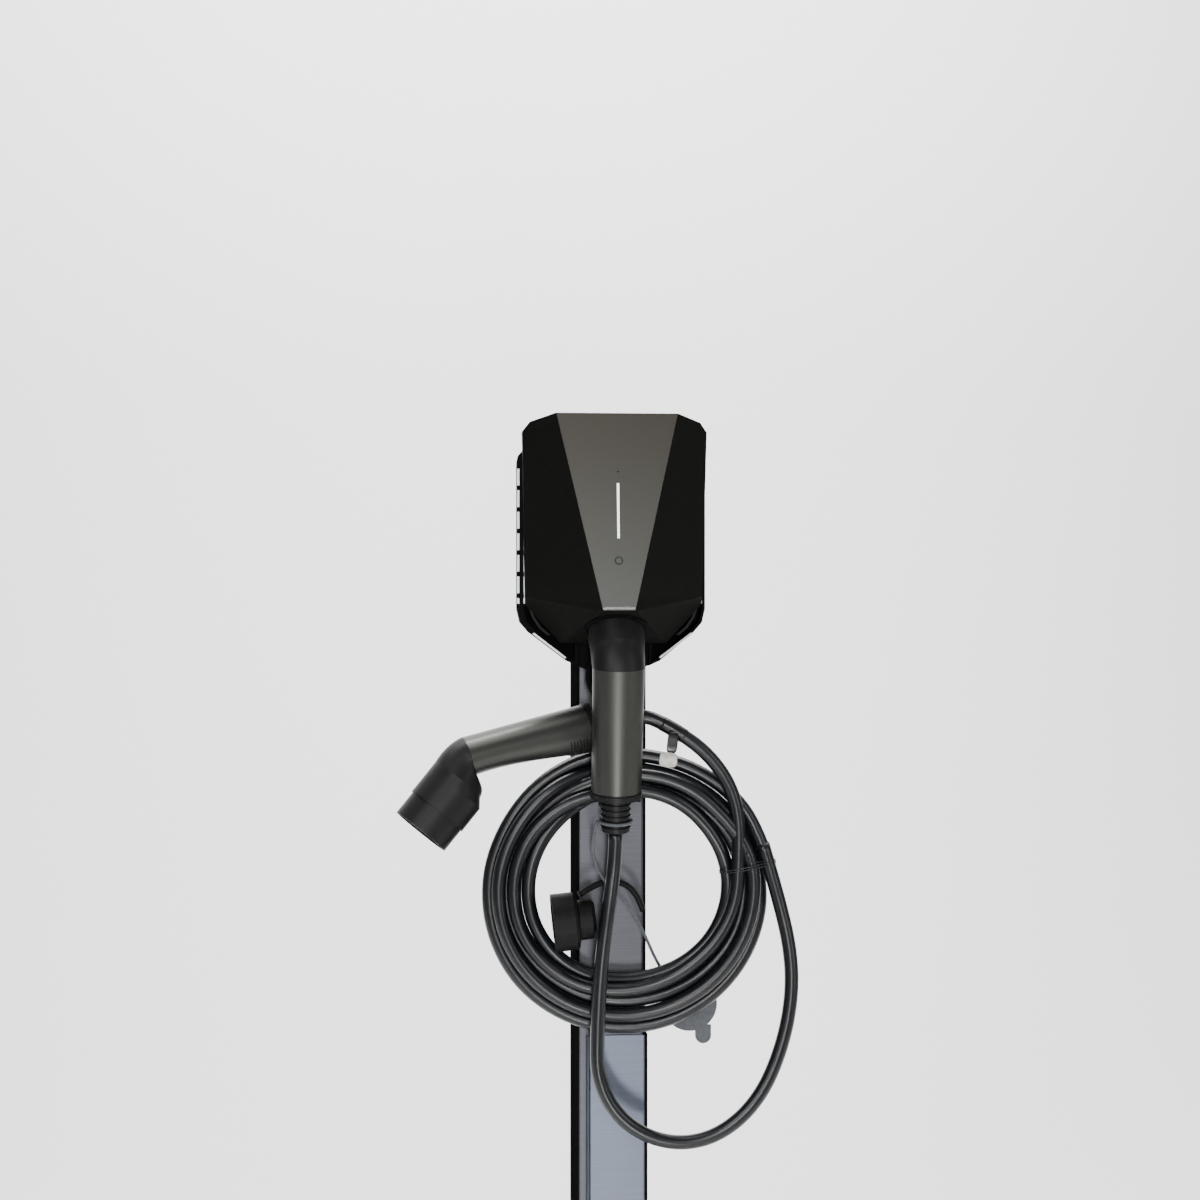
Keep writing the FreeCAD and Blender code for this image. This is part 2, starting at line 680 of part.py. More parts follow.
def make_socket():
    frame = socket_frame()
    mouth, outer = size("mouth_radius"), size("bezel_radius")
    depth = size("socket_depth")
    ring = Part.makeCylinder(outer, 14, V(0, 0, -12)).cut(Part.makeCylinder(mouth, 20, V(0, 0, -14)))
    hinge, lift = size("lid_hinge"), size("lid_lift")
    knuckle, pin = size("lid_knuckle"), size("lid_pin_radius")
    for left in (11.6, -15.6):
        ear = Part.makeBox(4, 8, lift + knuckle - 0.4, V(left, -hinge - knuckle, 0.4))
        ring = ring.fuse(ear)
    bore = Part.makeCylinder(pin + 0.02, 60, V(-30, -hinge, lift), V(1, 0, 0))
    ring = ring.cut(bore).cut(Part.makeCylinder(mouth, 20, V(0, 0, -14)))
    place_in(frame, "socket_bezel", ring.removeSplitter())
    cup = Part.makeCylinder(size("socket_radius"), depth - 12, V(0, 0, -depth))
    cup = cup.cut(Part.makeCylinder(mouth, depth, V(0, 0, -depth + 3)))
    core = size("plug_radius") - size("shroud_gap") - size("shroud_wall") - 0.6
    cup = cup.fuse(Part.makeCylinder(core, depth - 25, V(0, 0, -depth)))
    sleeve, pin_radius = size("contact_radius") + 1.2, size("contact_radius") + 0.1
    sleeves = []
    for x, y in contact_places():
        cup = cup.cut(Part.makeCylinder(sleeve, depth, V(x, y, -depth + 3)))
        tube = Part.makeCylinder(sleeve, depth - 29, V(x, y, -depth + 3))
        sleeves.append(tube.cut(Part.makeCylinder(pin_radius, depth, V(x, y, -depth + 4))))
    bolt = Part.makeCylinder(size("lock_pin_radius") + 0.1, 30, V(25.9, 0, -size("lock_pin_depth")),
                             V(1, 0, 0))
    slot = bolt.cut(Part.makeCylinder(core + 0.5, depth, V(0, 0, -depth)))
    place_in(frame, "socket_body", cup.cut(slot).removeSplitter())
    place_in(frame, "socket_contacts", Part.makeCompound(sleeves))


def place_in(frame, label, shape):
    piece = solid_piece(label, shape)
    piece.Placement = frame
    return piece


def make_lid():
    """A round lid on a pin behind the mouth; it hangs open against the plug's back."""
    hinge, lift, knuckle = size("lid_hinge"), size("lid_lift"), size("lid_knuckle")
    thick, radius = size("lid_thick"), size("lid_radius")
    face = lift - 2.4
    disc = Part.makeCylinder(radius, thick, V(0, 0, face))
    lip = Part.makeCylinder(radius - 2.5, 2, V(0, 0, face - 2))
    lip = lip.cut(Part.makeCylinder(radius - 5, 4, V(0, 0, face - 3)))
    arm = Part.makeBox(22, 12, thick, V(-11, -hinge, face))
    barrel = Part.makeCylinder(knuckle, 22, V(-11, -hinge, lift), V(1, 0, 0))
    lid = disc.fuse([lip, arm, barrel])
    lid = lid.cut(Part.makeCylinder(size("lid_pin_radius") + size("pin_clearance"), 60,
                                    V(-30, -hinge, lift), V(1, 0, 0)))
    opened = 90 + size("socket_tilt") - size("lid_lean")
    lid.rotate(V(0, -hinge, lift), V(1, 0, 0), opened)
    place_in(socket_frame(), "socket_lid", lid.removeSplitter())
    pin = Part.makeCylinder(size("lid_pin_radius"), 31.2, V(-15.6, -hinge, lift), V(1, 0, 0))
    place_in(socket_frame(), "lid_pin", pin)


def make_socket_lock():
    """A small motor box beside the socket drives a pin into the plug's lock window."""
    deep = size("lock_pin_depth")
    start = size("mouth_radius") + 0.3
    pin = Part.makeCylinder(size("lock_pin_radius"), 16, V(start, 0, -deep), V(1, 0, 0))
    place_in(socket_frame(), "lock_pin", pin)
    box = Part.makeBox(18, 14, 22, V(size("socket_radius") + 1, -7, -deep - 11))
    bore = Part.makeCylinder(size("lock_pin_radius") + 0.1, 20, V(start, 0, -deep), V(1, 0, 0))
    place_in(socket_frame(), "lock_actuator", box.cut(bore))


# ---------------------------------------------------------------- plugs

def across_wire(y, z, angle, thick, half):
    """An ellipse across the handle: its front edge at y, z, its plane turned by angle."""
    turn = math.radians(angle)
    inward = V(0, -math.cos(turn), -math.sin(turn))
    centre = V(0, y, z) + inward * (thick / 2)
    normal = V(0, -math.sin(turn), math.cos(turn))
    major, minor = max(half, thick / 2), min(half, thick / 2)
    across = V(1, 0, 0) if half >= thick / 2 else inward
    turned = FreeCAD.Rotation(across, normal.cross(across), normal, "ZXY")
    curve = Part.Ellipse(V(0, 0, 0), major, minor) if major > minor else \
        Part.Circle(V(0, 0, 0), V(0, 0, 1), major)
    edge = curve.toShape()
    edge.Placement = FreeCAD.Placement(centre, turned)
    return Part.Wire([edge])


def handle_point(radius, along):
    """The front edge of the handle, measured along it from the neck."""
    turn = math.radians(size("handle_bend"))
    return radius - 5 - along * math.sin(turn), 79 + along * math.cos(turn)


def handle_frame(radius, along, thick):
    """The middle of the handle at a place along it, Z running towards the cable."""
    turn = math.radians(size("handle_bend"))
    y, z = handle_point(radius, along)
    centre = V(0, y, z) + V(0, -math.cos(turn), -math.sin(turn)) * (thick / 2)
    return FreeCAD.Placement(centre, FreeCAD.Rotation(V(1, 0, 0), size("handle_bend")))


def ribbed_gland():
    """A cable gland with grip ribs, from its base at z = 0 to the cable's exit."""
    radius, length = size("gland_radius"), size("gland_length")
    profile = [V(0, 0, 0), V(radius, 0, 0)]
    pitch = length / 6
    for index in range(5):
        low = (index + 0.62) * pitch
        profile += [V(radius, 0, low), V(radius - 1.8, 0, low),
                    V(radius - 1.8, 0, low + 0.38 * pitch), V(radius, 0, low + 0.38 * pitch)]
    profile += [V(radius, 0, length - 2), V(radius - 3, 0, length), V(0, 0, length)]
    return Part.Face(Part.makePolygon(profile + profile[:1])).revolve(V(0, 0, 0), V(0, 0, 1), 360)


def make_grip(name, frame, radius, shroud_length, window, recess):
    """A plug: shroud, contact carrier, contacts, head, neck, handle, end ring and gland."""
    bend, wide = size("handle_bend"), size("handle_half")
    shroud_outer = radius - size("shroud_gap")
    shroud_inner = shroud_outer - size("shroud_wall")
    shroud = Part.makeCylinder(shroud_outer, shroud_length, V(0, 0, -shroud_length))
    shroud = shroud.cut(Part.makeCylinder(shroud_inner, shroud_length, V(0, 0, -shroud_length)))
    shroud = shroud.cut(Part.makeBox(20, 9, 9, V(20, -4.5, window - 4.5)))
    place_in(frame, f"{name}_shroud", shroud)
    carrier = Part.makeCylinder(shroud_inner - 0.05, 5, V(0, 0, -5))
    pins = []
    for x, y in contact_places():
        carrier = carrier.cut(Part.makeCylinder(size("contact_radius"), 9, V(x, y, -7)))
        pins.append(Part.makeCylinder(size("contact_radius"), shroud_length - recess,
                                      V(x, y, recess - shroud_length)))
    place_in(frame, f"{name}_carrier", carrier)
    place_in(frame, f"{name}_contacts", Part.makeCompound(pins))
    first = Part.Wire([Part.makeCircle(radius, V(0, 0, 0))])
    second = Part.Wire([Part.makeCircle(radius, V(0, 0, 31))])
    neck_wire = across_wire(radius, 41, 0, 2 * radius - 8, radius - 1)
    head = Part.makeLoft([first, second], True, True)
    head = head.fuse(Part.makeLoft([second, neck_wire], True, True)).removeSplitter()
    place_in(frame, f"{name}_head", head)
    middle = across_wire(radius, 63, 12, 2 * radius - 14, 29)
    top_y, top_z = handle_point(radius, 0)
    grip_wires = [across_wire(top_y, top_z, bend, 44, wide)]
    neck = Part.makeLoft([neck_wire, middle, grip_wires[0]], True, False)
    place_in(frame, f"{name}_neck", neck)
    length = size("handle_length")
    for share, thick in ((0.25, 43.0), (0.6, 47.0), (1.0, 54.0)):
        y, z = handle_point(radius, share * length)
        grip_wires.append(across_wire(y, z, bend, thick, wide - share))
    place_in(frame, f"{name}_handle", Part.makeLoft(grip_wires, True, False))
    end = frame.multiply(handle_frame(radius, length, 54.0))
    ring = Part.makeCylinder(size("ring_radius") - 1.2, 2).fuse(
        Part.makeCylinder(size("ring_radius"), size("ring_length") - 2, V(0, 0, 2)))
    place_in(end, f"{name}_end_ring", ring.removeSplitter())
    base = end.multiply(FreeCAD.Placement(V(0, 0, size("ring_length")), FreeCAD.Rotation()))
    place_in(base, f"{name}_gland", ribbed_gland())
    return base.multVec(V(0, 0, size("gland_length")))


def connector_frame():
    """The loose connector: handle end beside the post, head down to the left and forward."""
    elevation, yaw = math.radians(50), math.radians(12)
    flat = V(math.cos(yaw), math.sin(yaw), 0)
    along = flat * math.cos(elevation) + V(0, 0, math.sin(elevation))
    outer = flat * -math.sin(elevation) + V(0, 0, math.cos(elevation))
    turned = FreeCAD.Rotation(outer.cross(along), outer, along, "ZXY")
    end = handle_frame(size("connector_radius"), size("handle_length"), 54.0)
    end = end.multVec(V(0, 0, size("ring_length")))
    place = V(-24.2, -85, 1055) - turned.multVec(end)
    return FreeCAD.Placement(place, turned)


# ---------------------------------------------------------------- cords

def cord_path(points, label):
    """Straight runs joined by tangent arcs, each arc as large as its two runs allow."""
    edges, radii = [], []
    start = points[0]
    for before, corner, after in zip(points, points[1:], points[2:]):
        back, ahead = before - corner, after - corner
        half_turn = (math.pi - back.getAngle(ahead)) / 2
        reach = 0.45 * min(back.Length, ahead.Length)
        radii.append(reach / math.tan(half_turn))
        back.normalize()
        ahead.normalize()
        enter, leave = corner + back * reach, corner + ahead * reach
        inward = (back + ahead).normalize()
        nearest = radii[-1] / math.cos(half_turn) - radii[-1]
        edges.append(Part.LineSegment(start, enter).toShape())
        edges.append(Part.Arc(enter, corner + inward * nearest, leave).toShape())
        start = leave
    edges.append(Part.LineSegment(start, points[-1]).toShape())
    path = Part.Wire(edges)
    print(f"{label}: length {path.Length:.0f}, radii", " ".join(f"{r:.0f}" for r in radii))
    return path


def make_cord(label, points, diameter):
    path = cord_path(points, label)
    heading = (points[1] - points[0]).normalize()
    section = Part.Wire([Part.makeCircle(diameter / 2, points[0], heading)])
    tube = path.makePipeShell([section], True, False)
    expected = path.Length * math.pi * diameter ** 2 / 4
    if abs(tube.Volume / expected - 1) > 0.01:
        raise RuntimeError(f"{label}: tube volume is off by {tube.Volume / expected - 1:.3f}")
    solid_piece(label, tube)


def away(start, heading, distance):
    return start + heading * distance


DROP_ROUTE = [(-7, -112, 862), (-14, -109, 812), (-18, -106, 763), (-20, -105, 714),
              (-20, -104, 672), (-4, -104, 634), (26, -104, 607), (65, -104, 594),
              (104, -103, 598), (139, -101, 618), (166, -98, 649), (184, -94, 687),
              (196, -90, 728), (201, -86, 770), (198, -81, 811), (189, -76, 852),
              (176, -72, 892)]
LEAD_ROUTE = [(68, -78, 1052), (106, -78, 1025), (131, -78, 989), (141, -77, 955)]
STRAP_ROUTE = [(-39, -90, 869), (-20, -87, 881), (4, -84, 884), (26, -80, 871), (34, -74, 848)]
LANYARD_ROUTE = [(-20, -110, 953), (-24, -106, 937), (-25, -102, 920), (-21, -100, 903),
                 (-13, -98, 887), (-1, -95, 874), (13, -87, 861), (26, -75, 840),
                 (39, -61, 815), (50, -53, 790), (62, -48, 771), (76, -45, 759)]


def make_cable(drop_start, drop_heading, lead_start, lead_heading):
    thick = size("cable_diameter")
    route = [drop_start, away(drop_start, drop_heading, 30)] + [V(*p) for p in DROP_ROUTE]
    make_cord("cable_drop", route, thick)
    route = [lead_start, away(lead_start, lead_heading, 20)] + [V(*p) for p in LEAD_ROUTE]
    make_cord("cable_lead", route, thick)
    centre = V(size("coil_centre_across"), -size("coil_plane"), size("coil_centre_height"))
    wide, deep = size("coil_half_width"), size("coil_half_depth")
    section = Part.Ellipse(V(0, 0, 0), wide, deep).toShape()
    section.Placement = FreeCAD.Placement(centre + V(size("coil_radius"), 0, 0),
                                          FreeCAD.Rotation(V(1, 0, 0), 0))
    coil = Part.Face(Part.Wire([section])).revolve(centre, V(0, 1, 0), 360)
    solid_piece("cable_coil", coil)
    coil_band("cable_tie", centre, 11, 1.8, 2.2, 0)
    coil_band("cable_label", centre, 73, 22, 1.2, size("coil_half_width") * 0.55)


def coil_band(label, centre, degrees, length, thick, start):
    """A band round the coil's turns; only what lies outside start is kept, if that is set."""
    wide, deep = size("coil_half_width"), size("coil_half_depth")
    angle = math.radians(degrees)
    outward = V(math.cos(angle), 0, math.sin(angle))
    along = V(-math.sin(angle), 0, math.cos(angle))
    place = centre + outward * size("coil_radius")
    turned = FreeCAD.Rotation(outward, V(0, 1, 0), along * -1, "ZXY")
    rings = []
    lift = 0.3 if not start else length ** 2 / (8 * size("coil_radius")) + 0.3
    for grow in (lift + thick, lift):
        oval = Part.Wire([Part.Ellipse(V(0, 0, 0), wide + grow, deep + grow).toShape()])
        rings.append(Part.Face(oval).extrude(V(0, 0, length)))
    band = rings[0].cut(rings[1])
    if start:
        band = band.cut(Part.makeBox(200, 200, 99, V(start - 200, -100, -9)))
    band.translate(V(0, 0, -length / 2))
    piece = solid_piece(label, band)
    piece.Placement = FreeCAD.Placement(place, turned)


def make_holder():
    """A saddle on the post: back plate, a curved shelf inside the coil and an upturned lip."""
    face, sheet, gap = size("post_depth") / 2, size("holder_sheet"), size("fit_gap")
    left, right, reach = size("holder_left"), size("holder_right"), size("holder_reach")
    centre = V(size("coil_centre_across"), 0, size("coil_centre_height"))
    inside = size("coil_radius") - size("coil_half_width") - gap
    low = centre.z + inside - sheet
    plate = Part.makeBox(right - left, sheet, size("holder_back"), V(left, -face - sheet, low))
    shelf = round_block(inside, reach, centre, face)
    shelf = shelf.cut(round_block(inside - sheet, reach, centre, face))
    window = Part.makeBox(right - left, reach, inside, V(left, -face - reach, centre.z))
    lip = Part.makeBox(right - left, sheet, size("holder_lip"), V(left, -face - reach, low))
    hook = plate.fuse([shelf.common(window), lip]).removeSplitter()
    shapes = []
    for x in (left + 8, right - 8):
        start = V(x, -face - sheet - 1.6, low + size("holder_back") - 10)
        head = Part.makeCylinder(4.5, 1.6, start, V(0, 1, 0))
        shapes.append(head.fuse(Part.makeCylinder(2.4, 12, start, V(0, 1, 0))).removeSplitter())
    solid_piece("cable_holder", hook)
    for name in ("cable_holder", "post_tube"):
        drill_for_screws(name, Part.makeCompound(shapes))
    group_of("holder_screws", shapes)


def round_block(radius, reach, centre, face):
    """A cylinder about the coil's axis, from the post's face forwards."""
    return Part.makeCylinder(radius, reach, V(centre.x, -face, centre.z), V(0, -1, 0))


def make_caps():
    """Rubber dust caps: the connector's bell-shaped one and the plug's round one."""
    skirt = [(0, 0), (32, 0), (32, 24), (30, 27), (22, 29), (22, 43), (18, 47), (0, 47)]
    room = [(0, 0), (29.8, 0), (29.8, 23), (0, 23)]
    bell = turned_solid(skirt).cut(turned_solid(room))
    piece = solid_piece("connector_cap", bell)
    piece.Placement = FreeCAD.Placement(V(-68, -92, 838), FreeCAD.Rotation(V(0, 1, 0), 84))
    cup = turned_solid([(0, 0), (30, 0), (31, 1.5), (31, 18), (28, 21), (0, 21)])
    cup = cup.cut(turned_solid([(0, 3), (28.5, 3), (28.5, 21), (0, 21)]))
    tab = Part.makeBox(18, 12, 3, V(6, 24, 0)).fuse(Part.makeCylinder(9, 3, V(15, 36, 0)))
    tab = tab.cut(Part.makeCylinder(30, 3))
    piece = solid_piece("plug_cap", cup.fuse(tab).removeSplitter())
    piece.Placement = FreeCAD.Placement(V(90, -50, 738), FreeCAD.Rotation(V(1, 0, 0), -90))


def turned_solid(profile):
    """A solid of revolution about Z from radius and height pairs."""
    points = [V(r, 0, z) for r, z in profile]
    return Part.Face(Part.makePolygon(points + points[:1])).revolve(V(0, 0, 0), V(0, 0, 1), 360)


# ---------------------------------------------------------------- assembly and export

def check_and_write():
    DOC.recompute()
    for item in DOC.Objects:
        if "Invalid" in item.State or "Error" in item.State:
            raise RuntimeError(f"{item.Label} failed: {item.State}")
    os.makedirs("parts", exist_ok=True)
    for piece in PIECES:
        shape = piece.Shape
        if shape.isNull() or not shape.isValid():
            raise RuntimeError(f"{piece.Label} has a bad shape")
        if any(solid.Volume <= 0 for solid in shape.Solids) or not shape.Solids:
            raise RuntimeError(f"{piece.Label} has no solid")
        shape.exportStep(f"parts/{piece.Label}.step")
    print(len(PIECES), "pieces written")


def main():
    make_base_plate()
    make_post_tube()
    make_post_cap()
    make_door()
    make_door_hinge()
    make_door_lock()
    make_post_wiring()
    make_cover()
    make_tray()
    make_seal()
    make_heat_sink()
    make_electronics()
    make_bracket()
    make_socket()
    make_lid()
    make_socket_lock()
    seat = size("plug_seat")
    window = seat - size("lock_pin_depth")
    plug = socket_frame(-seat)
    drop_start = make_grip("plug", plug, size("plug_radius"), size("plug_shroud_length"), window, 4)
    loose = connector_frame()
    lead_start = make_grip("connector", loose, size("connector_radius"),
                           size("connector_shroud_length"), window, 11)
    bend = math.radians(size("handle_bend"))
    heading = V(0, -math.sin(bend), math.cos(bend))
    make_cable(drop_start, plug.Rotation.multVec(heading),
               lead_start, loose.Rotation.multVec(heading))
    make_cord("connector_cap_strap", [V(*p) for p in STRAP_ROUTE], size("strap_diameter"))
    make_cord("plug_cap_lanyard", [V(*p) for p in LANYARD_ROUTE], size("lanyard_diameter"))
    make_holder()
    make_caps()
    check_and_write()


main()
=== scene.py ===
import math

import bmesh
import bpy
from mathutils import Matrix, Vector


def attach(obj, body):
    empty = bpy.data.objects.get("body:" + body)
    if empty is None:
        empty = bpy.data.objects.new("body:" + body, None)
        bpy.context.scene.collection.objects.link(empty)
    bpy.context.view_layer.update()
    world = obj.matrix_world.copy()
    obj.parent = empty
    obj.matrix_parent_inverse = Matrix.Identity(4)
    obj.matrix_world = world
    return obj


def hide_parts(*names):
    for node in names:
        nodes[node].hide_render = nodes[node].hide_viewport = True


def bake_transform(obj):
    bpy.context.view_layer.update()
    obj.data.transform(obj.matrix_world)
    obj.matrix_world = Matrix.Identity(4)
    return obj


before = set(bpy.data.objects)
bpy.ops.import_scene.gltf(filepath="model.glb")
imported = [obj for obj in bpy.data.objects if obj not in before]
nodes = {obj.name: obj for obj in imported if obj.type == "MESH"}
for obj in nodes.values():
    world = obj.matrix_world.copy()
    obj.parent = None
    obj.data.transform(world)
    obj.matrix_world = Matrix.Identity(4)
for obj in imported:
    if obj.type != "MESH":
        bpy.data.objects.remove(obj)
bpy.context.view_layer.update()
MM = 0.001

# ---- Camera, floor and light
# The post stands on a pale studio sweep that curves up behind it. The camera looks level from a
# little to the left of the front, at the height of the charger.

camera_data = bpy.data.cameras.new("camera")
camera_data.sensor_width = 36.0
camera_data.lens = 61.11
camera = bpy.data.objects.new("camera", camera_data)
bpy.context.scene.collection.objects.link(camera)
camera_heading = math.radians(4.6)
camera_aim = Vector((-0.01247, -0.05, 1.196))
camera_distance = 2.302
forwards = Vector((math.sin(camera_heading), math.cos(camera_heading), 0))
camera.location = camera_aim - camera_distance * forwards
camera.rotation_euler = (math.radians(90), 0, -camera_heading)
bpy.context.scene.camera = camera


def linear(code, alpha=1.0):
    """An sRGB hex colour as linear red, green and blue."""
    parts = [int(code[i:i + 2], 16) / 255 for i in (1, 3, 5)]
    return [p / 12.92 if p <= 0.04045 else ((p + 0.055) / 1.055) ** 2.4 for p in parts] + [alpha]


def add(tree, kind, values=None, links=None, **settings):
    """One node with its settings, its socket values and its incoming links."""
    node = tree.nodes.new(kind)
    for name, value in settings.items():
        setattr(node, name, value)
    for name, value in (values or {}).items():
        node.inputs[name].default_value = value
    for name, source in (links or {}).items():
        tree.links.new(source, node.inputs[name])
    return node


def finish_of(name, code, roughness, metallic=0.0, ior=1.5, level=0.5):
    """A new material: its shader with the plain values of its kind."""
    material = bpy.data.materials.new(name)
    material.use_nodes = True
    material.node_tree.nodes.clear()
    tree = material.node_tree
    shader = add(tree, "ShaderNodeBsdfPrincipled",
                 {"Base Color": linear(code), "Roughness": roughness, "Metallic": metallic,
                  "IOR": ior, "Specular IOR Level": level})
    add(tree, "ShaderNodeOutputMaterial", links={"Surface": shader.outputs["BSDF"]})
    return material, tree, shader


def grain(tree, shader, size, amount, stretch=(1, 1, 1), tint=None, rough=None, detail=3.0):
    """A surface grain of a real size in mm: its relief, and how it shifts colour and gloss."""
    place = add(tree, "ShaderNodeTexCoord").outputs["Object"]
    stretched = add(tree, "ShaderNodeMapping", {"Scale": stretch}, {"Vector": place})
    noise = add(tree, "ShaderNodeTexNoise", {"Scale": 1000 / size, "Detail": detail},
                {"Vector": stretched.outputs["Vector"]})
    height = noise.outputs["Fac"]
    if amount:
        bump = add(tree, "ShaderNodeBump", {"Strength": 1.0, "Distance": amount * MM},
                   {"Height": height})
        tree.links.new(bump.outputs["Normal"], shader.inputs["Normal"])
    if tint:
        ramp = add(tree, "ShaderNodeValToRGB", links={"Fac": height})
        ramp.color_ramp.elements[0].color = linear(tint[0])
        ramp.color_ramp.elements[1].color = linear(tint[1])
        ramp.color_ramp.elements[0].position = 0.3
        ramp.color_ramp.elements[1].position = 0.7
        tree.links.new(ramp.outputs["Color"], shader.inputs["Base Color"])
    if rough:
        gloss = add(tree, "ShaderNodeMapRange", {"To Min": rough[0], "To Max": rough[1]},
                    {"Value": height})
        tree.links.new(gloss.outputs["Result"], shader.inputs["Roughness"])
    return height


def new_piece(name, mesh, material, body, smooth=True):
    """A finished mesh as an object at the origin that rides on a body."""
    piece = bpy.data.objects.new(name, mesh)
    bpy.context.scene.collection.objects.link(piece)
    mesh.materials.clear()
    mesh.materials.append(material)
    if smooth:
        mesh.shade_smooth()
    if body:
        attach(piece, body)
    return piece


def mesh_of(shape, name):
    """Closes a bmesh into a mesh, its faces pointing outwards."""
    bmesh.ops.remove_doubles(shape, verts=shape.verts, dist=1e-6)
    bmesh.ops.recalc_face_normals(shape, faces=shape.faces)
    mesh = bpy.data.meshes.new(name)
    shape.to_mesh(mesh)
    shape.free()
    return mesh


def only_verts(geometry):
    """The vertices among what an operator returns."""
    return [item for item in geometry if isinstance(item, bmesh.types.BMVert)]


def only_edges(geometry):
    """The edges among what an operator returns."""
    return [item for item in geometry if isinstance(item, bmesh.types.BMEdge)]


# Matt background paper: almost white, with a faint tooth.
floor_paper, tree, shader = finish_of("studio_paper", "#F1F1F0", 0.9, level=0.1)
grain(tree, shader, 4.0, 0.02)
SWEEP_SIDE, SWEEP_REACH, SWEEP_BELOW = 6.0, 1.4, -0.0005
SWEEP_BEND, SWEEP_RISE = 1.8, 4.0
sweep = bmesh.new()
front_edge = sweep.edges.new([sweep.verts.new((side * SWEEP_SIDE, -SWEEP_REACH, SWEEP_BELOW))
                              for side in (-1, 1)])
flat = bmesh.ops.extrude_edge_only(sweep, edges=[front_edge])["geom"]
bmesh.ops.translate(sweep, verts=only_verts(flat), vec=(0, 2 * SWEEP_REACH, 0))
last = [e for e in only_edges(flat) if all(abs(v.co.y - SWEEP_REACH) < 1e-4 for v in e.verts)]
turned = bmesh.ops.spin(sweep, geom=last, cent=(0, SWEEP_REACH, SWEEP_BEND), axis=(1, 0, 0),
                        angle=math.radians(90), steps=24)["geom_last"]
raised = bmesh.ops.extrude_edge_only(sweep, edges=only_edges(turned))["geom"]
bmesh.ops.translate(sweep, verts=only_verts(raised), vec=(0, 0, SWEEP_RISE))
sweep_piece = new_piece("studio_sweep", mesh_of(sweep, "studio_sweep"), floor_paper, None)


def softbox(name, place, target, width, height, power):
    """A rectangular soft light aimed at a point."""
    light = bpy.data.lights.new(name, "AREA")
    light.shape = "RECTANGLE"
    light.size = width
    light.size_y = height
    light.energy = power
    lamp = bpy.data.objects.new(name, light)
    lamp.location = place
    lamp.rotation_euler = (Vector(target) - Vector(place)).to_track_quat("-Z", "Y").to_euler()
    bpy.context.scene.collection.objects.link(lamp)


softbox("key", (-1.3, -2.6, 2.3), (0, 0, 0.95), 0.6, 1.6, 34)
softbox("fill", (1.9, -1.7, 1.5), (0, 0, 0.95), 0.3, 1.8, 14)
softbox("front", (-0.12, -2.9, 1.25), (0, 0, 1.0), 0.18, 1.2, 32)
softbox("low", (-0.04, -2.4, -0.3), (0, 0, 0.98), 0.24, 0.6, 26)
softbox("top", (0.0, -0.4, 3.4), (0, 0, 0.9), 1.2, 1.2, 18)
softbox("backdrop", (0.0, 0.9, 3.9), (0, 2.9, 1.2), 4.0, 1.0, 380)
world = bpy.data.worlds.new("studio")
world.use_nodes = True
surroundings = world.node_tree.nodes["Background"].inputs
surroundings["Color"].default_value = linear("#DDE0E4")
surroundings["Strength"].default_value = 0.26
bpy.context.scene.world = world

# ---- Charging cable
# One round cable in a black rubber-like sheath. It leaves the plug's gland downwards, makes a
# wide loop to the right, joins the coil at the wire tie, goes round in five loose turns that lie
# in two layers on the holder, and leaves the top right of the coil for the loose connector.

# Extruded sheath: near black with a cool tint, a soft sheen and a faint bloom from handling.
sheath, tree, shader = finish_of("extruded_rubber_sheath", "#0F1113", 0.3, ior=1.5)
grain(tree, shader, 14.0, 0.0, tint=("#090B0E", "#0F1217"), rough=(0.29, 0.35))

CABLE = 16 * MM
# Points in mm: from the plug's gland down, round the wide loop and up to the tie.
DROP = [(0, -109.2, 941.1), (0, -104.5, 911), (-7, -112, 862), (-14, -109, 812),
        (-18, -106, 763), (-20, -105, 714), (-20, -104, 672), (-4, -104, 634), (26, -104, 607),
        (65, -104, 594), (104, -103, 598), (139, -101, 618), (166, -98, 649), (184, -94, 687),
        (196, -90, 728), (201, -86, 770), (198, -81, 811), (189, -76, 852), (177, -75, 895),
        (169, -75, 922)]
# The coil's middle in mm; the direction of a turn's first point and the step to the next, in
# degrees.
COIL_ACROSS, COIL_UP = 21.0, 870.7
TURN_START, TURN_STEP = 16, 22.5
# Five turns, anticlockwise from the tie: each point's radius and how far forward it lies, in mm.
TURNS = [
    [(156, 75), (156, 66), (152, 64), (150, 62), (155, 62), (156, 61), (156, 62), (159, 62),
     (160, 63), (160, 64), (157, 65), (154, 66), (152, 66), (150, 65), (149, 63), (148, 62)],
    [(144, 62), (140, 61), (136, 61), (134, 61), (139, 62), (144, 72), (146, 75), (149, 76),
     (149, 76), (147, 76), (143, 76), (140, 75), (137, 75), (136, 77), (136, 78), (137, 77)],
    [(139, 77), (130, 77), (131, 77), (130, 77), (129, 74), (130, 64), (136, 62), (140, 62),
     (140, 62), (136, 62), (130, 66), (124, 69), (122, 69), (124, 66), (127, 64), (128, 63)],
    [(128, 62), (124, 61), (119, 61), (117, 61), (115, 61), (113, 65), (115, 71), (116, 74),
     (115, 74), (111, 72), (106, 68), (101, 65), (100, 63), (103, 62), (107, 62), (110, 62)],
    [(111, 65), (110, 70), (112, 76), (113, 77), (113, 77), (122, 78), (130, 78), (132, 77),
     (131, 77), (126, 77), (119, 78), (111, 78), (107, 78), (106, 78), (110, 78), (116, 78)],
]
# Points in mm: out of the last turn, over the coil's top and into the loose connector's gland.
LEAD = [(141.5, -78, 905), (142, -78, 950), (132, -78, 989), (106, -78, 1025), (68, -77, 1052),
        (31.8, -74, 1069.3), (12.8, -77.1, 1064.4)]


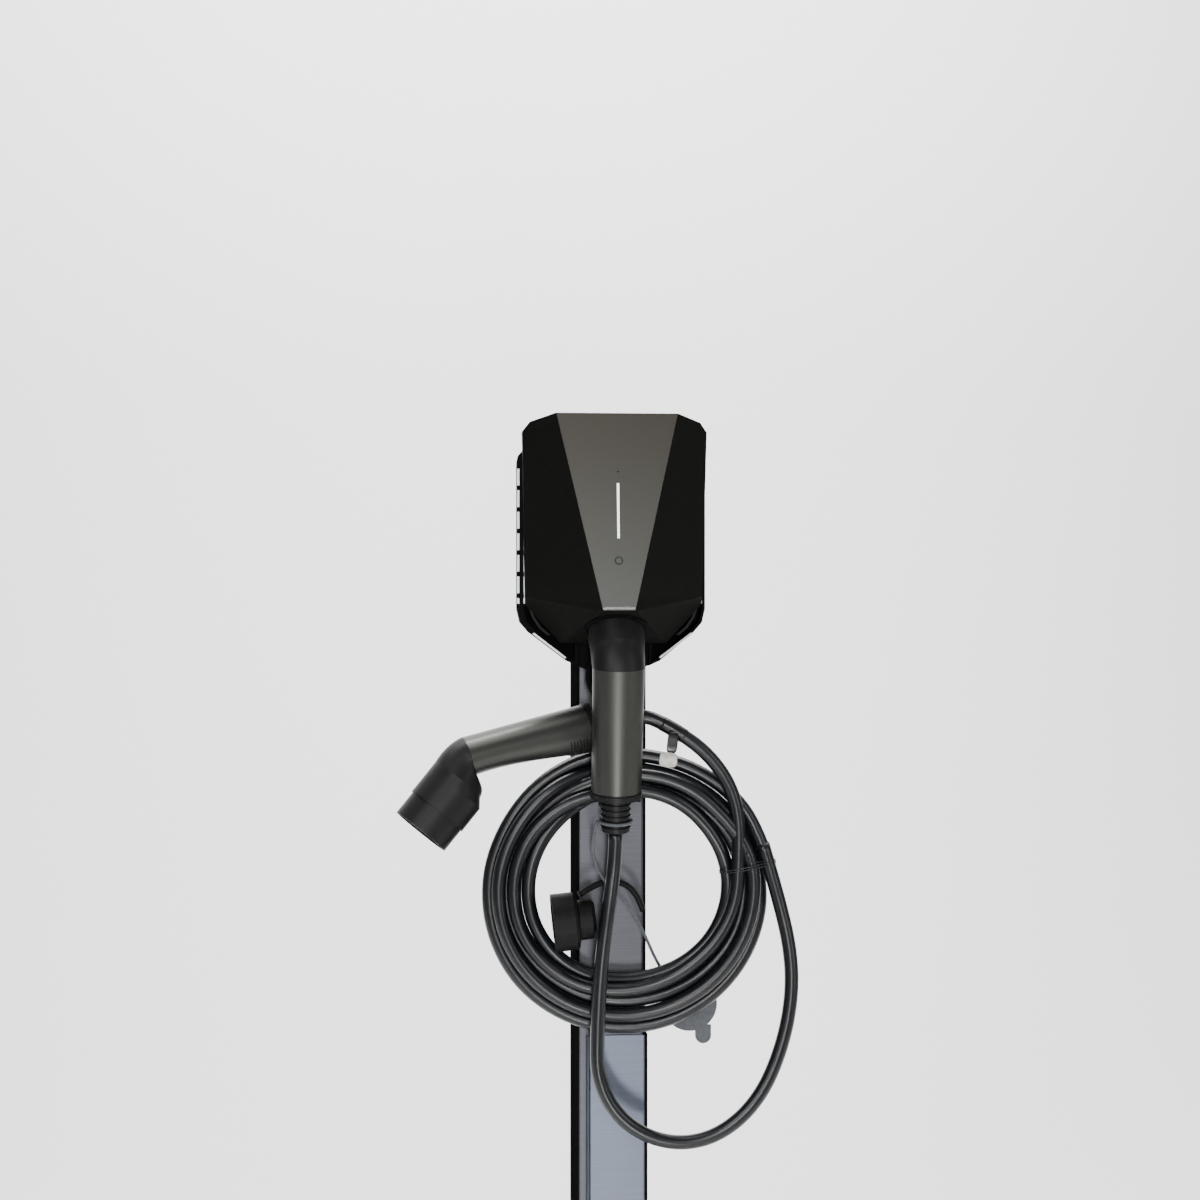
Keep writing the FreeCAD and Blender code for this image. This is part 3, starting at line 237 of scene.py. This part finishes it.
def coil_route():
    """The turns' points in mm, from the tie round to the tie again, five times."""
    points = [DROP[-2], DROP[-1]]
    # The spline cuts its corners, so the points lie a little outside the turns.
    swell = 1 / math.cos(math.radians(TURN_STEP / 2))
    for number, turn in enumerate(TURNS):
        for place, (radius, depth) in enumerate(turn):
            if number == 0 and place == 0:
                continue
            angle = math.radians(TURN_START + TURN_STEP * place)
            points.append((COIL_ACROSS + swell * radius * math.cos(angle), -depth,
                           COIL_UP + swell * radius * math.sin(angle)))
    return points


def cord_curve(name, points):
    """An open, smooth spline through the air whose control points are the route's, in mm."""
    data = bpy.data.curves.new(name, "CURVE")
    data.dimensions = "3D"
    data.resolution_u = 6
    spline = data.splines.new("NURBS")
    spline.points.add(len(points) - 1)
    for point, place in zip(spline.points, points):
        point.co = [value * MM for value in place] + [1.0]
    spline.order_u = 3
    spline.use_endpoint_u = True
    curve = bpy.data.objects.new(name + "_line", data)
    bpy.context.scene.collection.objects.link(curve)
    bpy.context.view_layer.update()
    return curve


def line_of(curve):
    """The points that a curve's smooth line passes."""
    line = bpy.data.meshes.new_from_object(curve)
    points = [v.co.copy() for v in line.vertices]
    bpy.data.meshes.remove(line)
    return points


def tube_of(curve, diameter, name):
    """A closed round tube along a curve, which is removed."""
    curve.data.bevel_depth = diameter / 2
    curve.data.bevel_resolution = 5
    curve.data.use_fill_caps = True
    bpy.context.view_layer.update()
    mesh = bpy.data.meshes.new_from_object(curve)
    mesh.name = name
    bpy.data.objects.remove(curve)
    shape = bmesh.new()
    shape.from_mesh(mesh)
    bpy.data.meshes.remove(mesh)
    return mesh_of(shape, name)


drop_curve = cord_curve("cable_drop_run", DROP)
drop_line = line_of(drop_curve)
cable_drop = new_piece("cable_drop_run", tube_of(drop_curve, CABLE, "cable_drop_run"), sheath,
                       None)
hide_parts("cable_drop")

coil_curve = cord_curve("cable_coil_run", coil_route() + LEAD)
coil_line = line_of(coil_curve)
cable_coil = new_piece("cable_coil_run", tube_of(coil_curve, CABLE, "cable_coil_run"), sheath,
                       "post")
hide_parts("cable_coil", "cable_lead")

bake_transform(cable_drop)

# ---- Wire tie
# A thin plastic-covered wire, wound twice round the strands on the right and twisted to a short
# tail. It pulls the turns together there.

# Moulded nylon cover: black with a dull shine.
tie_cover, tree, shader = finish_of("nylon_wire_cover", "#101113", 0.42)
grain(tree, shader, 1.5, 0.02, rough=(0.36, 0.5))


# In mm: the strands' middle from the coil's middle, its depth, and the oval's two half axes.
TIE_REACH, TIE_DEPTH = 134, 69.5
TIE_ACROSS, TIE_DEEP, TIE_WIRE = 32.5, 18.0, 1.2
TIE_TAIL = [(153, -89.5, 902), (147, -90.5, 908), (151, -90, 914), (146, -89.5, 921)]


def oval_ring(direction, count=40):
    """Points on an oval round the strands, in mm, in a direction in degrees from the coil."""
    outward = Vector((math.cos(math.radians(direction)), 0, math.sin(math.radians(direction))))
    middle = Vector((COIL_ACROSS, -TIE_DEPTH, COIL_UP)) + TIE_REACH * outward
    turns = [math.tau * i / count for i in range(count)]
    return [tuple(middle + outward * TIE_ACROSS * math.cos(t)
                  + Vector((0, 1, 0)) * TIE_DEEP * math.sin(t)) for t in turns]


tie_curve = cord_curve("wire_tie", oval_ring(10.2) + oval_ring(11.4) + TIE_TAIL)
wire_tie = new_piece("wire_tie", tube_of(tie_curve, TIE_WIRE * MM, "wire_tie"), tie_cover, "post")
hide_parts("cable_tie")

# ---- Cable label
# A blank white vinyl flag on a black tab that hangs from a band of tape. The band is wrapped
# round the lead to the loose connector, above the coil's right.

# Plain vinyl: warm white, slightly glossy, with soft creases.
vinyl, tree, shader = finish_of("white_vinyl", "#C9C7C1", 0.35)
grain(tree, shader, 5.0, 0.25, tint=("#B5B2AB", "#DAD8D3"))
# Adhesive tape: black, with a smooth shine.
tape, tree, shader = finish_of("black_tape", "#0C0C0D", 0.28)
grain(tree, shader, 3.0, 0.15)


# The tape's outside diameter, and the stretch of the lead that it covers.
BAND_WIDE = 17 * MM
BAND_LEFT, BAND_RIGHT, BAND_LOW = 0.06, 0.079, 1.035
under_band = [i for i, p in enumerate(coil_line)
              if BAND_LEFT < p.x < BAND_RIGHT and p.z > BAND_LOW]
band_line = [tuple(p / MM) for p in coil_line[under_band[0] - 1:under_band[-1] + 2]]
band = new_piece("label_band", tube_of(cord_curve("label_band", band_line), BAND_WIDE,
                                       "label_band"), tape, "post")


SHEET_THICK, SHEET_LEAN = 0.5 * MM, math.radians(6)


def curved_sheet(name, wide, tall, bulge, place, material):
    """A thin rounded sheet that bulges to the front, its sizes and its place in mm."""
    shape = bmesh.new()
    bmesh.ops.create_grid(shape, x_segments=10, y_segments=8, size=0.5)
    for vert in shape.verts:
        across, up = 2 * vert.co.x, 2 * vert.co.y
        trim = 1 - 0.16 * (abs(across) * abs(up)) ** 3
        vert.co = Vector((across * trim * wide / 2, up * trim * tall / 2,
                          bulge * (1 - up * up))) * MM
    raised = bmesh.ops.extrude_face_region(shape, geom=shape.faces[:])["geom"]
    bmesh.ops.translate(shape, verts=only_verts(raised), vec=(0, 0, SHEET_THICK))
    upright = Matrix.Rotation(math.radians(90), 4, "X")
    turned = (Matrix.Translation(Vector(place) * MM)
              @ Matrix.Rotation(SHEET_LEAN, 4, "Y") @ upright)
    bmesh.ops.transform(shape, matrix=turned, verts=shape.verts)
    return new_piece(name, mesh_of(shape, name), material, "post")


label_link = curved_sheet("label_link", 12, 24, 2.0, (65.5, -86.6, 1037), tape)
label_flag = curved_sheet("label_flag", 20, 16.5, 2.5, (60.5, -88.5, 1018), vinyl)
for piece in (label_flag, label_link, band):
    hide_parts("cable_label")

# ---- Post, cap and base plate
# A rectangular steel tube, welded to a square floor plate and closed by a plug-in cap. The sides
# are made black as painted shade, where they lie in shadow at a grazing angle; the front is left
# bare and brushed across.


def wear(node_name, material):
    """Gives a carried-over part its finish."""
    slots = nodes[node_name].data.materials
    slots.clear()
    slots.append(material)


# Brushed stainless steel in front: fine lines across the post, a cool grey, blurred reflections.
# Its two copies are lit and shaded: the post's is tinted darker and greyer as painted shade, the
# door's lighter and bluer as painted light.
def brushed_front(name, tint):
    """Steel brushed across, its colour between two tints."""
    material, tree, shader = finish_of(name, tint[0], 0.42, metallic=1.0)
    place = add(tree, "ShaderNodeTexCoord").outputs["Object"]
    lines = add(tree, "ShaderNodeMapping", {"Scale": (0.012, 0.012, 1.0)}, {"Vector": place})
    # The real brushing is about 0.1 mm apart; 0.8 mm is the finest that still shows.
    brush = add(tree, "ShaderNodeTexNoise", {"Scale": 1000 / 0.8, "Detail": 3.0},
                {"Vector": lines.outputs["Vector"]})
    cloud = add(tree, "ShaderNodeTexNoise", {"Scale": 9.0, "Detail": 2.0}, {"Vector": place})
    both = add(tree, "ShaderNodeMix", {"Factor": 0.4},
               {"A": brush.outputs["Fac"], "B": cloud.outputs["Fac"]})
    ramp = add(tree, "ShaderNodeValToRGB", links={"Fac": both.outputs["Result"]})
    ramp.color_ramp.elements[0].position = 0.32
    ramp.color_ramp.elements[1].position = 0.68
    ramp.color_ramp.elements[0].color = linear(tint[0])
    ramp.color_ramp.elements[1].color = linear(tint[1])
    tree.links.new(ramp.outputs["Color"], shader.inputs["Base Color"])
    gloss = add(tree, "ShaderNodeMapRange", {"To Min": 0.36, "To Max": 0.5},
                {"Value": brush.outputs["Fac"]})
    tree.links.new(gloss.outputs["Result"], shader.inputs["Roughness"])
    relief = add(tree, "ShaderNodeBump", {"Strength": 1.0, "Distance": 0.006 * MM},
                 {"Height": brush.outputs["Fac"]})
    tree.links.new(relief.outputs["Normal"], shader.inputs["Normal"])
    return material


# Painted shade on the sides: a dead matt black with no shine and a very fine orange peel, where the
# sides lie in shadow.
painted_shade_sides, tree, shader = finish_of("matt_black_painted_shade", "#121213", 0.9, level=0.0)
grain(tree, shader, 1.2, 0.05, tint=("#0F0F10", "#151516"))


def shade_sides_black(node_name, depth):
    """Gives all faces but those in front of a depth in mm the black of painted shade."""
    mesh = nodes[node_name].data
    mesh.materials.append(painted_shade_sides)
    for face in mesh.polygons:
        bare = face.normal.y < -0.9 and face.center.y < -depth * MM
        face.material_index = 0 if bare else 1


# In mm: the front face of the tube is at 50, and only faces in front of this depth stay bare; the
# rest get the black of painted shade.
TUBE_BARE = 49.6
# Painted shade: the post's steel is tinted darker and greyer than the door's.
wear("post_tube", brushed_front("brushed_stainless_post", ("#48494D", "#56575B")))
shade_sides_black("post_tube", TUBE_BARE)

# Powder coat on the small steel parts: black with a low sheen.
powder, tree, shader = finish_of("black_powder_coat", "#0E0E10", 0.6, level=0.12)
grain(tree, shader, 1.2, 0.05, rough=(0.55, 0.66))
for name in ("post_cap", "wall_bracket", "cable_holder"):
    wear(name, powder)

# Hot-dip galvanised plate: mottled grey with a dull crystal pattern.
galvanised, tree, shader = finish_of("galvanised_plate", "#6E7174", 0.5, metallic=1.0)
grain(tree, shader, 9.0, 0.03, tint=("#5C5F62", "#84878A"), rough=(0.4, 0.6), detail=1.0)
wear("base_plate", galvanised)

# The weld: a bead round the tube's foot with a sloped face.
weld_shape = bmesh.new()
half_width, half_depth, bead, plate_top = 40 * MM, 50 * MM, 4 * MM, 12 * MM
bmesh.ops.create_cube(weld_shape, size=1.0)
bmesh.ops.scale(weld_shape, verts=weld_shape.verts,
                vec=(2 * (half_width + bead), 2 * (half_depth + bead), bead))
bmesh.ops.translate(weld_shape, verts=weld_shape.verts, vec=(0, 0, plate_top + bead / 2))
top_face = max(weld_shape.faces, key=lambda f: f.calc_center_median().z)
bmesh.ops.scale(weld_shape, verts=list(top_face.verts),
                vec=(half_width / (half_width + bead), half_depth / (half_depth + bead), 1))
bmesh.ops.bevel(weld_shape, geom=[e for e in weld_shape.edges
                                  if abs(e.verts[0].co.z - e.verts[1].co.z) > bead / 2],
                offset=6 * MM, segments=4, profile=0.5, affect="EDGES", material=-1)
inside = [f for f in weld_shape.faces if abs(f.normal.z) > 0.9]
bmesh.ops.inset_region(weld_shape, faces=inside, thickness=0.5 * MM)
new_piece("weld_bead", mesh_of(weld_shape, "weld_bead"), galvanised, "post")

# ---- Service door, hinge and lock
# A thin brushed sheet over the service opening, folded round the right corner. A slim piano hinge
# in the seam at its left carries it, and a quarter-turn lock near the bottom holds it.

# In mm: the door lies on the tube, so its front face is 2 mm further out.
DOOR_BARE = 51.8
# Painted light: the door's steel is tinted lighter and bluer than the post's, the lit copy of the
# same steel.
wear("service_door", brushed_front("brushed_stainless_door", ("#5B606C", "#6A707C")))
# The door's folded side and edges get the same black of painted shade.
shade_sides_black("service_door", DOOR_BARE)

# Turned steel: bright, smooth, lightly brushed round.
bright, tree, shader = finish_of("bright_steel", "#B9BABC", 0.24, metallic=1.0)
grain(tree, shader, 0.8, 0.01, stretch=(1, 1, 0.1), rough=(0.18, 0.32))
for name in ("hinge_pin", "bracket_screws", "holder_screws", "lid_pin", "lock_pin"):
    wear(name, bright)

# Rolled hinge steel: darker, dull, slightly blue like the door.
rolled_steel, tree, shader = finish_of("rolled_hinge_steel", "#4B505B", 0.46, metallic=1.0)
grain(tree, shader, 1.0, 0.01, stretch=(1, 1, 0.1), rough=(0.42, 0.54))
for name in ("hinge_knuckles_post", "hinge_knuckles_door"):
    wear(name, rolled_steel)

# Die-cast zinc, satin chromed: a soft warm shine.
zinc, tree, shader = finish_of("satin_chromed_zinc", "#8F9092", 0.34, metallic=1.0)
grain(tree, shader, 1.0, 0.02, rough=(0.28, 0.42))
for name in ("door_lock", "door_cam"):
    wear(name, zinc)

# ---- Supply terminals behind the door
# A row of feed-through terminals snapped on an aluminium rail on the post's back wall. The
# contactor and the terminals in the charger are moulded in the same grey plastic.

# Moulded polyamide: mid grey, matt.
polyamide, tree, shader = finish_of("grey_polyamide", "#5B5E60", 0.55)
grain(tree, shader, 1.0, 0.03, tint=("#55585A", "#636668"))
for name in ("supply_terminals", "contactor", "power_terminals"):
    wear(name, polyamide)

# Rolled aluminium: pale grey with faint lines along the rolling.
rolled, tree, shader = finish_of("rolled_aluminium", "#A5A8AB", 0.4, metallic=1.0)
grain(tree, shader, 1.0, 0.02, stretch=(1, 1, 0.05), tint=("#989B9E", "#B1B4B7"),
      rough=(0.32, 0.46))
for name in ("terminal_rail", "heat_sink"):
    wear(name, rolled)

# ---- Charger housing
# A glass-filled plastic tray with slotted side bands, a rubber seal, and a moulded cover made of
# flat facets. The tray is dull; the cover has a fine spark-eroded texture with a soft shine.

# Moulded polycarbonate with a fine texture: near black, low sheen.
# On the chin, below the facets, the surface is duller.
CHIN_TOP, FACETS_FOOT = 1.19, 1.215
cover_shell, tree, shader = finish_of("textured_polycarbonate", "#0C0C0A", 0.5, level=0.1)
grain(tree, shader, 0.9, 0.04, tint=("#0A0A08", "#0F0F0D"))
place = add(tree, "ShaderNodeTexCoord").outputs["Object"]
axes = add(tree, "ShaderNodeSeparateXYZ", links={"Vector": place})
dulled = add(tree, "ShaderNodeMapRange",
             {"From Min": CHIN_TOP, "From Max": FACETS_FOOT, "To Min": 0.85, "To Max": 0.52},
             {"Value": axes.outputs["Z"]})
tree.links.new(dulled.outputs["Result"], shader.inputs["Roughness"])
wear("front_cover", cover_shell)

# Glass-filled polyamide: black, matt, slightly cloudy.
tray_plastic, tree, shader = finish_of("glass_filled_polyamide", "#0A0A0B", 0.7, level=0.06)
grain(tree, shader, 1.4, 0.08, tint=("#080809", "#0D0D0F"), rough=(0.66, 0.8))
for name in ("rear_housing", "socket_bezel", "socket_body", "lock_actuator", "current_sensor"):
    wear(name, tray_plastic)

# Moulded rubber seal: black and dull.
rubber, tree, shader = finish_of("moulded_rubber", "#0D0D0E", 0.7, level=0.3)
grain(tree, shader, 1.2, 0.05)
wear("cover_seal", rubber)

# Solder-masked board: deep green, glossy, with pale traces.
board, tree, shader = finish_of("solder_masked_board", "#0E3A20", 0.3)
grain(tree, shader, 3.0, 0.02, tint=("#0B3019", "#16502C"), detail=0.0)
for name in ("main_board", "led_board", "card_reader"):
    wear(name, board)

# ---- Fascia
# A thin lacquered panel in warm grey, glued into the cover. Its lower edge is cut bright, with a
# dark step under it. A slim light bar, a sensor dot and a small ring mark sit on its middle line.

FASCIA_TOP = Vector((0, -130, 1400)) * MM
FASCIA_FOOT = Vector((0, -156, 1184)) * MM

# Metallic lacquer: warm grey, satin. Painted shade makes it darker towards the top and lighter
# towards the foot, where it also turns cooler.
lacquer, tree, shader = finish_of("metallic_lacquer", "#6A655D", 0.4, metallic=0.55)
place = add(tree, "ShaderNodeTexCoord").outputs["Object"]
axes = add(tree, "ShaderNodeSeparateXYZ", links={"Vector": place})
height = add(tree, "ShaderNodeMapRange",
             {"From Min": FASCIA_FOOT.z, "From Max": FASCIA_TOP.z}, {"Value": axes.outputs["Z"]})
# Painted shade: a lighter, cooler grey at the foot runs to a darker, warmer one at the top.
painted_shade_ramp = add(tree, "ShaderNodeValToRGB", links={"Fac": height.outputs["Result"]})
painted_shade_ramp.color_ramp.elements[0].color = linear("#4A4B47")
painted_shade_ramp.color_ramp.elements[1].color = linear("#403C36")
flake = add(tree, "ShaderNodeTexNoise", {"Scale": 1000 / 0.9, "Detail": 2.0}, {"Vector": place})
gloss = add(tree, "ShaderNodeMapRange", {"To Min": 0.34, "To Max": 0.48},
            {"Value": flake.outputs["Fac"]})
tree.links.new(painted_shade_ramp.outputs["Color"], shader.inputs["Base Color"])
tree.links.new(gloss.outputs["Result"], shader.inputs["Roughness"])
wear("fascia", lacquer)

# Frosted light pipe: white and softly lit from inside.
light_pipe, tree, shader = finish_of("frosted_light_pipe", "#F4F6F8", 0.35)
grain(tree, shader, 2.0, 0.01)
shader.inputs["Emission Color"].default_value = linear("#FFFFFF")
shader.inputs["Emission Strength"].default_value = 1.6
wear("light_guide", light_pipe)

fascia_up = (FASCIA_TOP - FASCIA_FOOT).normalized()
fascia_out = Vector((1, 0, 0)).cross(fascia_up)


def on_fascia(height, proud):
    """A place on the fascia's middle line in mm, its Z out of the panel and its Y up it."""
    share = (height * MM - FASCIA_FOOT.z) / (FASCIA_TOP.z - FASCIA_FOOT.z)
    point = FASCIA_FOOT.lerp(FASCIA_TOP, share) + fascia_out * proud * MM
    side = fascia_up.cross(fascia_out)
    turned = Matrix((side, fascia_up, fascia_out)).transposed().to_4x4()
    return Matrix.Translation(point) @ turned


# Polished edge: bright metal.
cut_edge, tree, shader = finish_of("cut_bright_edge", "#D5D6D6", 0.22, metallic=1.0)
grain(tree, shader, 0.8, 0.005)
edge_shape = bmesh.new()
bmesh.ops.create_cube(edge_shape, size=1.0)
bmesh.ops.scale(edge_shape, verts=edge_shape.verts, vec=(34.6 * MM, 2.8 * MM, 1.0 * MM))
bmesh.ops.bevel(edge_shape, geom=edge_shape.edges[:], offset=0.3 * MM, segments=2, profile=0.5,
                affect="EDGES", material=-1)
tilt = on_fascia(1187.2, 0.35) @ Matrix.Rotation(math.radians(-24), 4, "X")
bmesh.ops.transform(edge_shape, matrix=tilt, verts=edge_shape.verts)
new_piece("fascia_edge", mesh_of(edge_shape, "fascia_edge"), cut_edge, "post",
          smooth=False)

# Smoked window: near black, glossy.
smoked, tree, shader = finish_of("smoked_window", "#1A1A19", 0.2)
grain(tree, shader, 2.0, 0.005)
dot_shape = bmesh.new()
bmesh.ops.create_circle(dot_shape, cap_ends=True, segments=20, radius=1.3 * MM)
bmesh.ops.solidify(dot_shape, geom=dot_shape.faces[:], thickness=0.2 * MM)
bmesh.ops.transform(dot_shape, matrix=on_fascia(1335.5, 0.5), verts=dot_shape.verts)
new_piece("sensor_dot", mesh_of(dot_shape, "sensor_dot"), smoked, "post")


def flat_ring(outer, inner, place, name):
    """A thin raised ring, its radii in mm."""
    shape = bmesh.new()
    bmesh.ops.create_circle(shape, cap_ends=True, segments=32, radius=outer * MM)
    bmesh.ops.inset_region(shape, faces=shape.faces[:], thickness=(outer - inner) * MM,
                           use_boundary=True)
    middle = min(shape.faces, key=lambda f: f.calc_center_median().length)
    bmesh.ops.delete(shape, geom=[middle], context="FACES_ONLY")
    bmesh.ops.solidify(shape, geom=shape.faces[:], thickness=0.15 * MM)
    bmesh.ops.transform(shape, matrix=place, verts=shape.verts)
    return mesh_of(shape, name)


# Screen print: a thin dark ink ring that marks where a card is held.
ink, tree, shader = finish_of("dark_ink", "#232322", 0.5, level=0.2)
grain(tree, shader, 1.0, 0.0, tint=("#1F1F1E", "#282826"))
new_piece("card_mark", flat_ring(4.5, 3.3, on_fascia(1238.5, 0.6), "card_mark"), ink, "post")

# The lower corners of the housing carry a thin pale strip beside the cover's edge: a painted
# highlight on the housing's rim. Corners and depth in mm; the right strip lies a little further in,
# as the tray's right wall does.
RIM_GLINT_CORNERS = [(88.6, 1159.6), (90.4, 1158.2), (54.4, 1130.6), (52.8, 1132.2)]
RIM_GLINT_BACK, RIM_GLINT_THICK = -80.1 * MM, 1.0 * MM
# Each pale strip is a painted highlight of the rim, not a separate trim.
for side, shift, name in ((-1, 0, "rim_glint_left"), (1, 1.5, "rim_glint_right")):
    trim = bmesh.new()
    front = trim.faces.new([trim.verts.new((side * (x - shift) * MM, RIM_GLINT_BACK, z * MM))
                            for x, z in RIM_GLINT_CORNERS])
    raised = bmesh.ops.extrude_face_region(trim, geom=[front])["geom"]
    bmesh.ops.translate(trim, verts=only_verts(raised), vec=(0, -RIM_GLINT_THICK, 0))
    new_piece(name, mesh_of(trim, name), rolled, "post", smooth=False)

# ---- Socket, lid and lock
# The socket looks down and forwards under the fascia. Its lid is sprung and rests on the plug's
# back; a motor drives a pin into the plug to hold it.

# Silver-plated brass: pale, bright.
silver, tree, shader = finish_of("silver_plated_brass", "#C9C3B4", 0.25, metallic=1.0)
grain(tree, shader, 1.0, 0.01, rough=(0.2, 0.34))
for name in ("socket_contacts", "plug_contacts", "connector_contacts"):
    wear(name, silver)
wear("socket_lid", tray_plastic)

# ---- Plug and connector
# Two moulded grips of the same make: a round black head with the shroud and contacts, a bent
# neck, a smooth satin handle with rounded sides, an end ring and a ribbed gland.

# Moulded polyamide: black and matt on the head and neck.
head_plastic, tree, shader = finish_of("moulded_black_polyamide", "#0F0F0F", 0.46, level=0.25)
grain(tree, shader, 1.2, 0.04, rough=(0.42, 0.52))
for grip in ("plug", "connector"):
    for part in ("shroud", "carrier", "head", "neck", "end_ring", "gland"):
        wear(f"{grip}_{part}", head_plastic)

# Metallic lacquered handle: graphite grey with one broad highlight down its length.
handle_lacquer, tree, shader = finish_of("graphite_metallic_lacquer", "#4A4A47", 0.4,
                                         metallic=0.9)
grain(tree, shader, 1.0, 0.003, rough=(0.38, 0.42))
wear("plug_handle", handle_lacquer)
wear("connector_handle", handle_lacquer)

# The connector's grip: fine ribs across its inner side, near the end. Its head's origin in mm and
# its three axes; the handle is bent from the head's axis and grows deeper towards its end.
HEAD_AT = Vector((-196.35, -121.59, 966.08))
HEAD_SIDE = Vector((-0.2079, 0.9781, 0.0))
HEAD_TOP = Vector((-0.7493, -0.1593, 0.6428))
HEAD_ALONG = Vector((0.6287, 0.1336, 0.7660))
BEND = math.radians(36)
BEND_TOP, BEND_ALONG = 30, 79
FIRST_RIB, RIB_PITCH, RIB_WIRE, RIB_HALF = 112, 3.6, 1.4, 27.9
HANDLE_START, HANDLE_LONG, HANDLE_DEEP, HANDLE_GROWS = 83, 55, 47, 7
handle_top = HEAD_TOP * math.cos(BEND) + HEAD_ALONG * math.sin(BEND)
handle_along = HEAD_ALONG * math.cos(BEND) - HEAD_TOP * math.sin(BEND)
bend_at = HEAD_AT + HEAD_TOP * BEND_TOP + HEAD_ALONG * BEND_ALONG
for number in range(6):
    along = FIRST_RIB + RIB_PITCH * number
    deep = HANDLE_DEEP + (along - HANDLE_START) / HANDLE_LONG * HANDLE_GROWS
    centre = bend_at + handle_along * along - handle_top * deep / 2
    rib = [tuple(centre + HEAD_SIDE * RIB_HALF * math.cos(t)
                 - handle_top * (deep / 2 + 0.1) * math.sin(t))
           for t in (math.radians(a) for a in range(20, 161, 10))]
    name = f"grip_rib_{number}"
    new_piece(name, tube_of(cord_curve("rib", rib), RIB_WIRE * MM, name), head_plastic, "post")

# ---- Dust caps and their tethers
# A black bell-shaped rubber cap for the connector hangs inside the coil by a flat strap. A grey
# round cap for the plug hangs behind the coil on a thin cord that loops round the plug's gland.

# Moulded rubber, black and mid grey: dull, with a soft bloom.
black_cap, tree, shader = finish_of("black_moulded_cap", "#0C0C0C", 0.5, level=0.14)
grain(tree, shader, 6.0, 0.06, tint=("#0A0A0A", "#101010"), rough=(0.44, 0.56))
wear("connector_cap", black_cap)
grey_cap, tree, shader = finish_of("grey_moulded_cap", "#505257", 0.6, level=0.3)
grain(tree, shader, 5.0, 0.06, tint=("#4B4D52", "#57595E"), rough=(0.52, 0.66))
wear("plug_cap", grey_cap)

# The thin cord's loop round the plug's gland, whose axis leans 10 degrees.
RING_AT, RING_RADIUS, RING_CORD = Vector((0, -111.25, 952.9)), 17.6, 3.4
ring_side = Vector((0, 0.98481, 0.17365))
loop = [tuple(RING_AT + Vector((RING_RADIUS, 0, 0)) * math.cos(t)
              + ring_side * RING_RADIUS * math.sin(t))
        for t in (math.radians(a) for a in range(0, 361, 12))]
new_piece("lanyard_ring", tube_of(cord_curve("lanyard_ring", loop), RING_CORD * MM,
                                  "lanyard_ring"), grey_cap, "plug")

# Points in mm: from a free end in front of the post, over the plug's cable, to the black cap.
STRAP = [(34, -74, 848), (26, -80, 871), (4, -84, 884), (-20, -87, 881), (-39, -90, 869)]
STRAP_WIDE = 7 * MM
strap_curve = cord_curve("cap_strap_run", STRAP)
strap_line = line_of(strap_curve)
cap_strap = new_piece("cap_strap_run", tube_of(strap_curve, STRAP_WIDE, "cap_strap_run"),
                      black_cap, "post")
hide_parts("connector_cap_strap")

# Points in mm: from the loop on the gland down behind the coil to the grey cap.
LANYARD = [(-20, -110, 953), (-24, -106, 937), (-25, -102, 920), (-21, -100, 903),
           (-13, -98, 887), (-1, -95, 874), (13, -87, 861), (26, -75, 840), (39, -61, 815),
           (50, -53, 790), (62, -48, 771), (76, -45, 759)]
LANYARD_THICK = 3.5 * MM
lanyard_curve = cord_curve("cap_lanyard_run", LANYARD)
lanyard_line = line_of(lanyard_curve)
cap_lanyard = new_piece("cap_lanyard_run", tube_of(lanyard_curve, LANYARD_THICK, "cap_lanyard_run"),
                        grey_cap, None)
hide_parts("plug_cap_lanyard")
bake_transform(cap_lanyard)


bpy.context.view_layer.update()
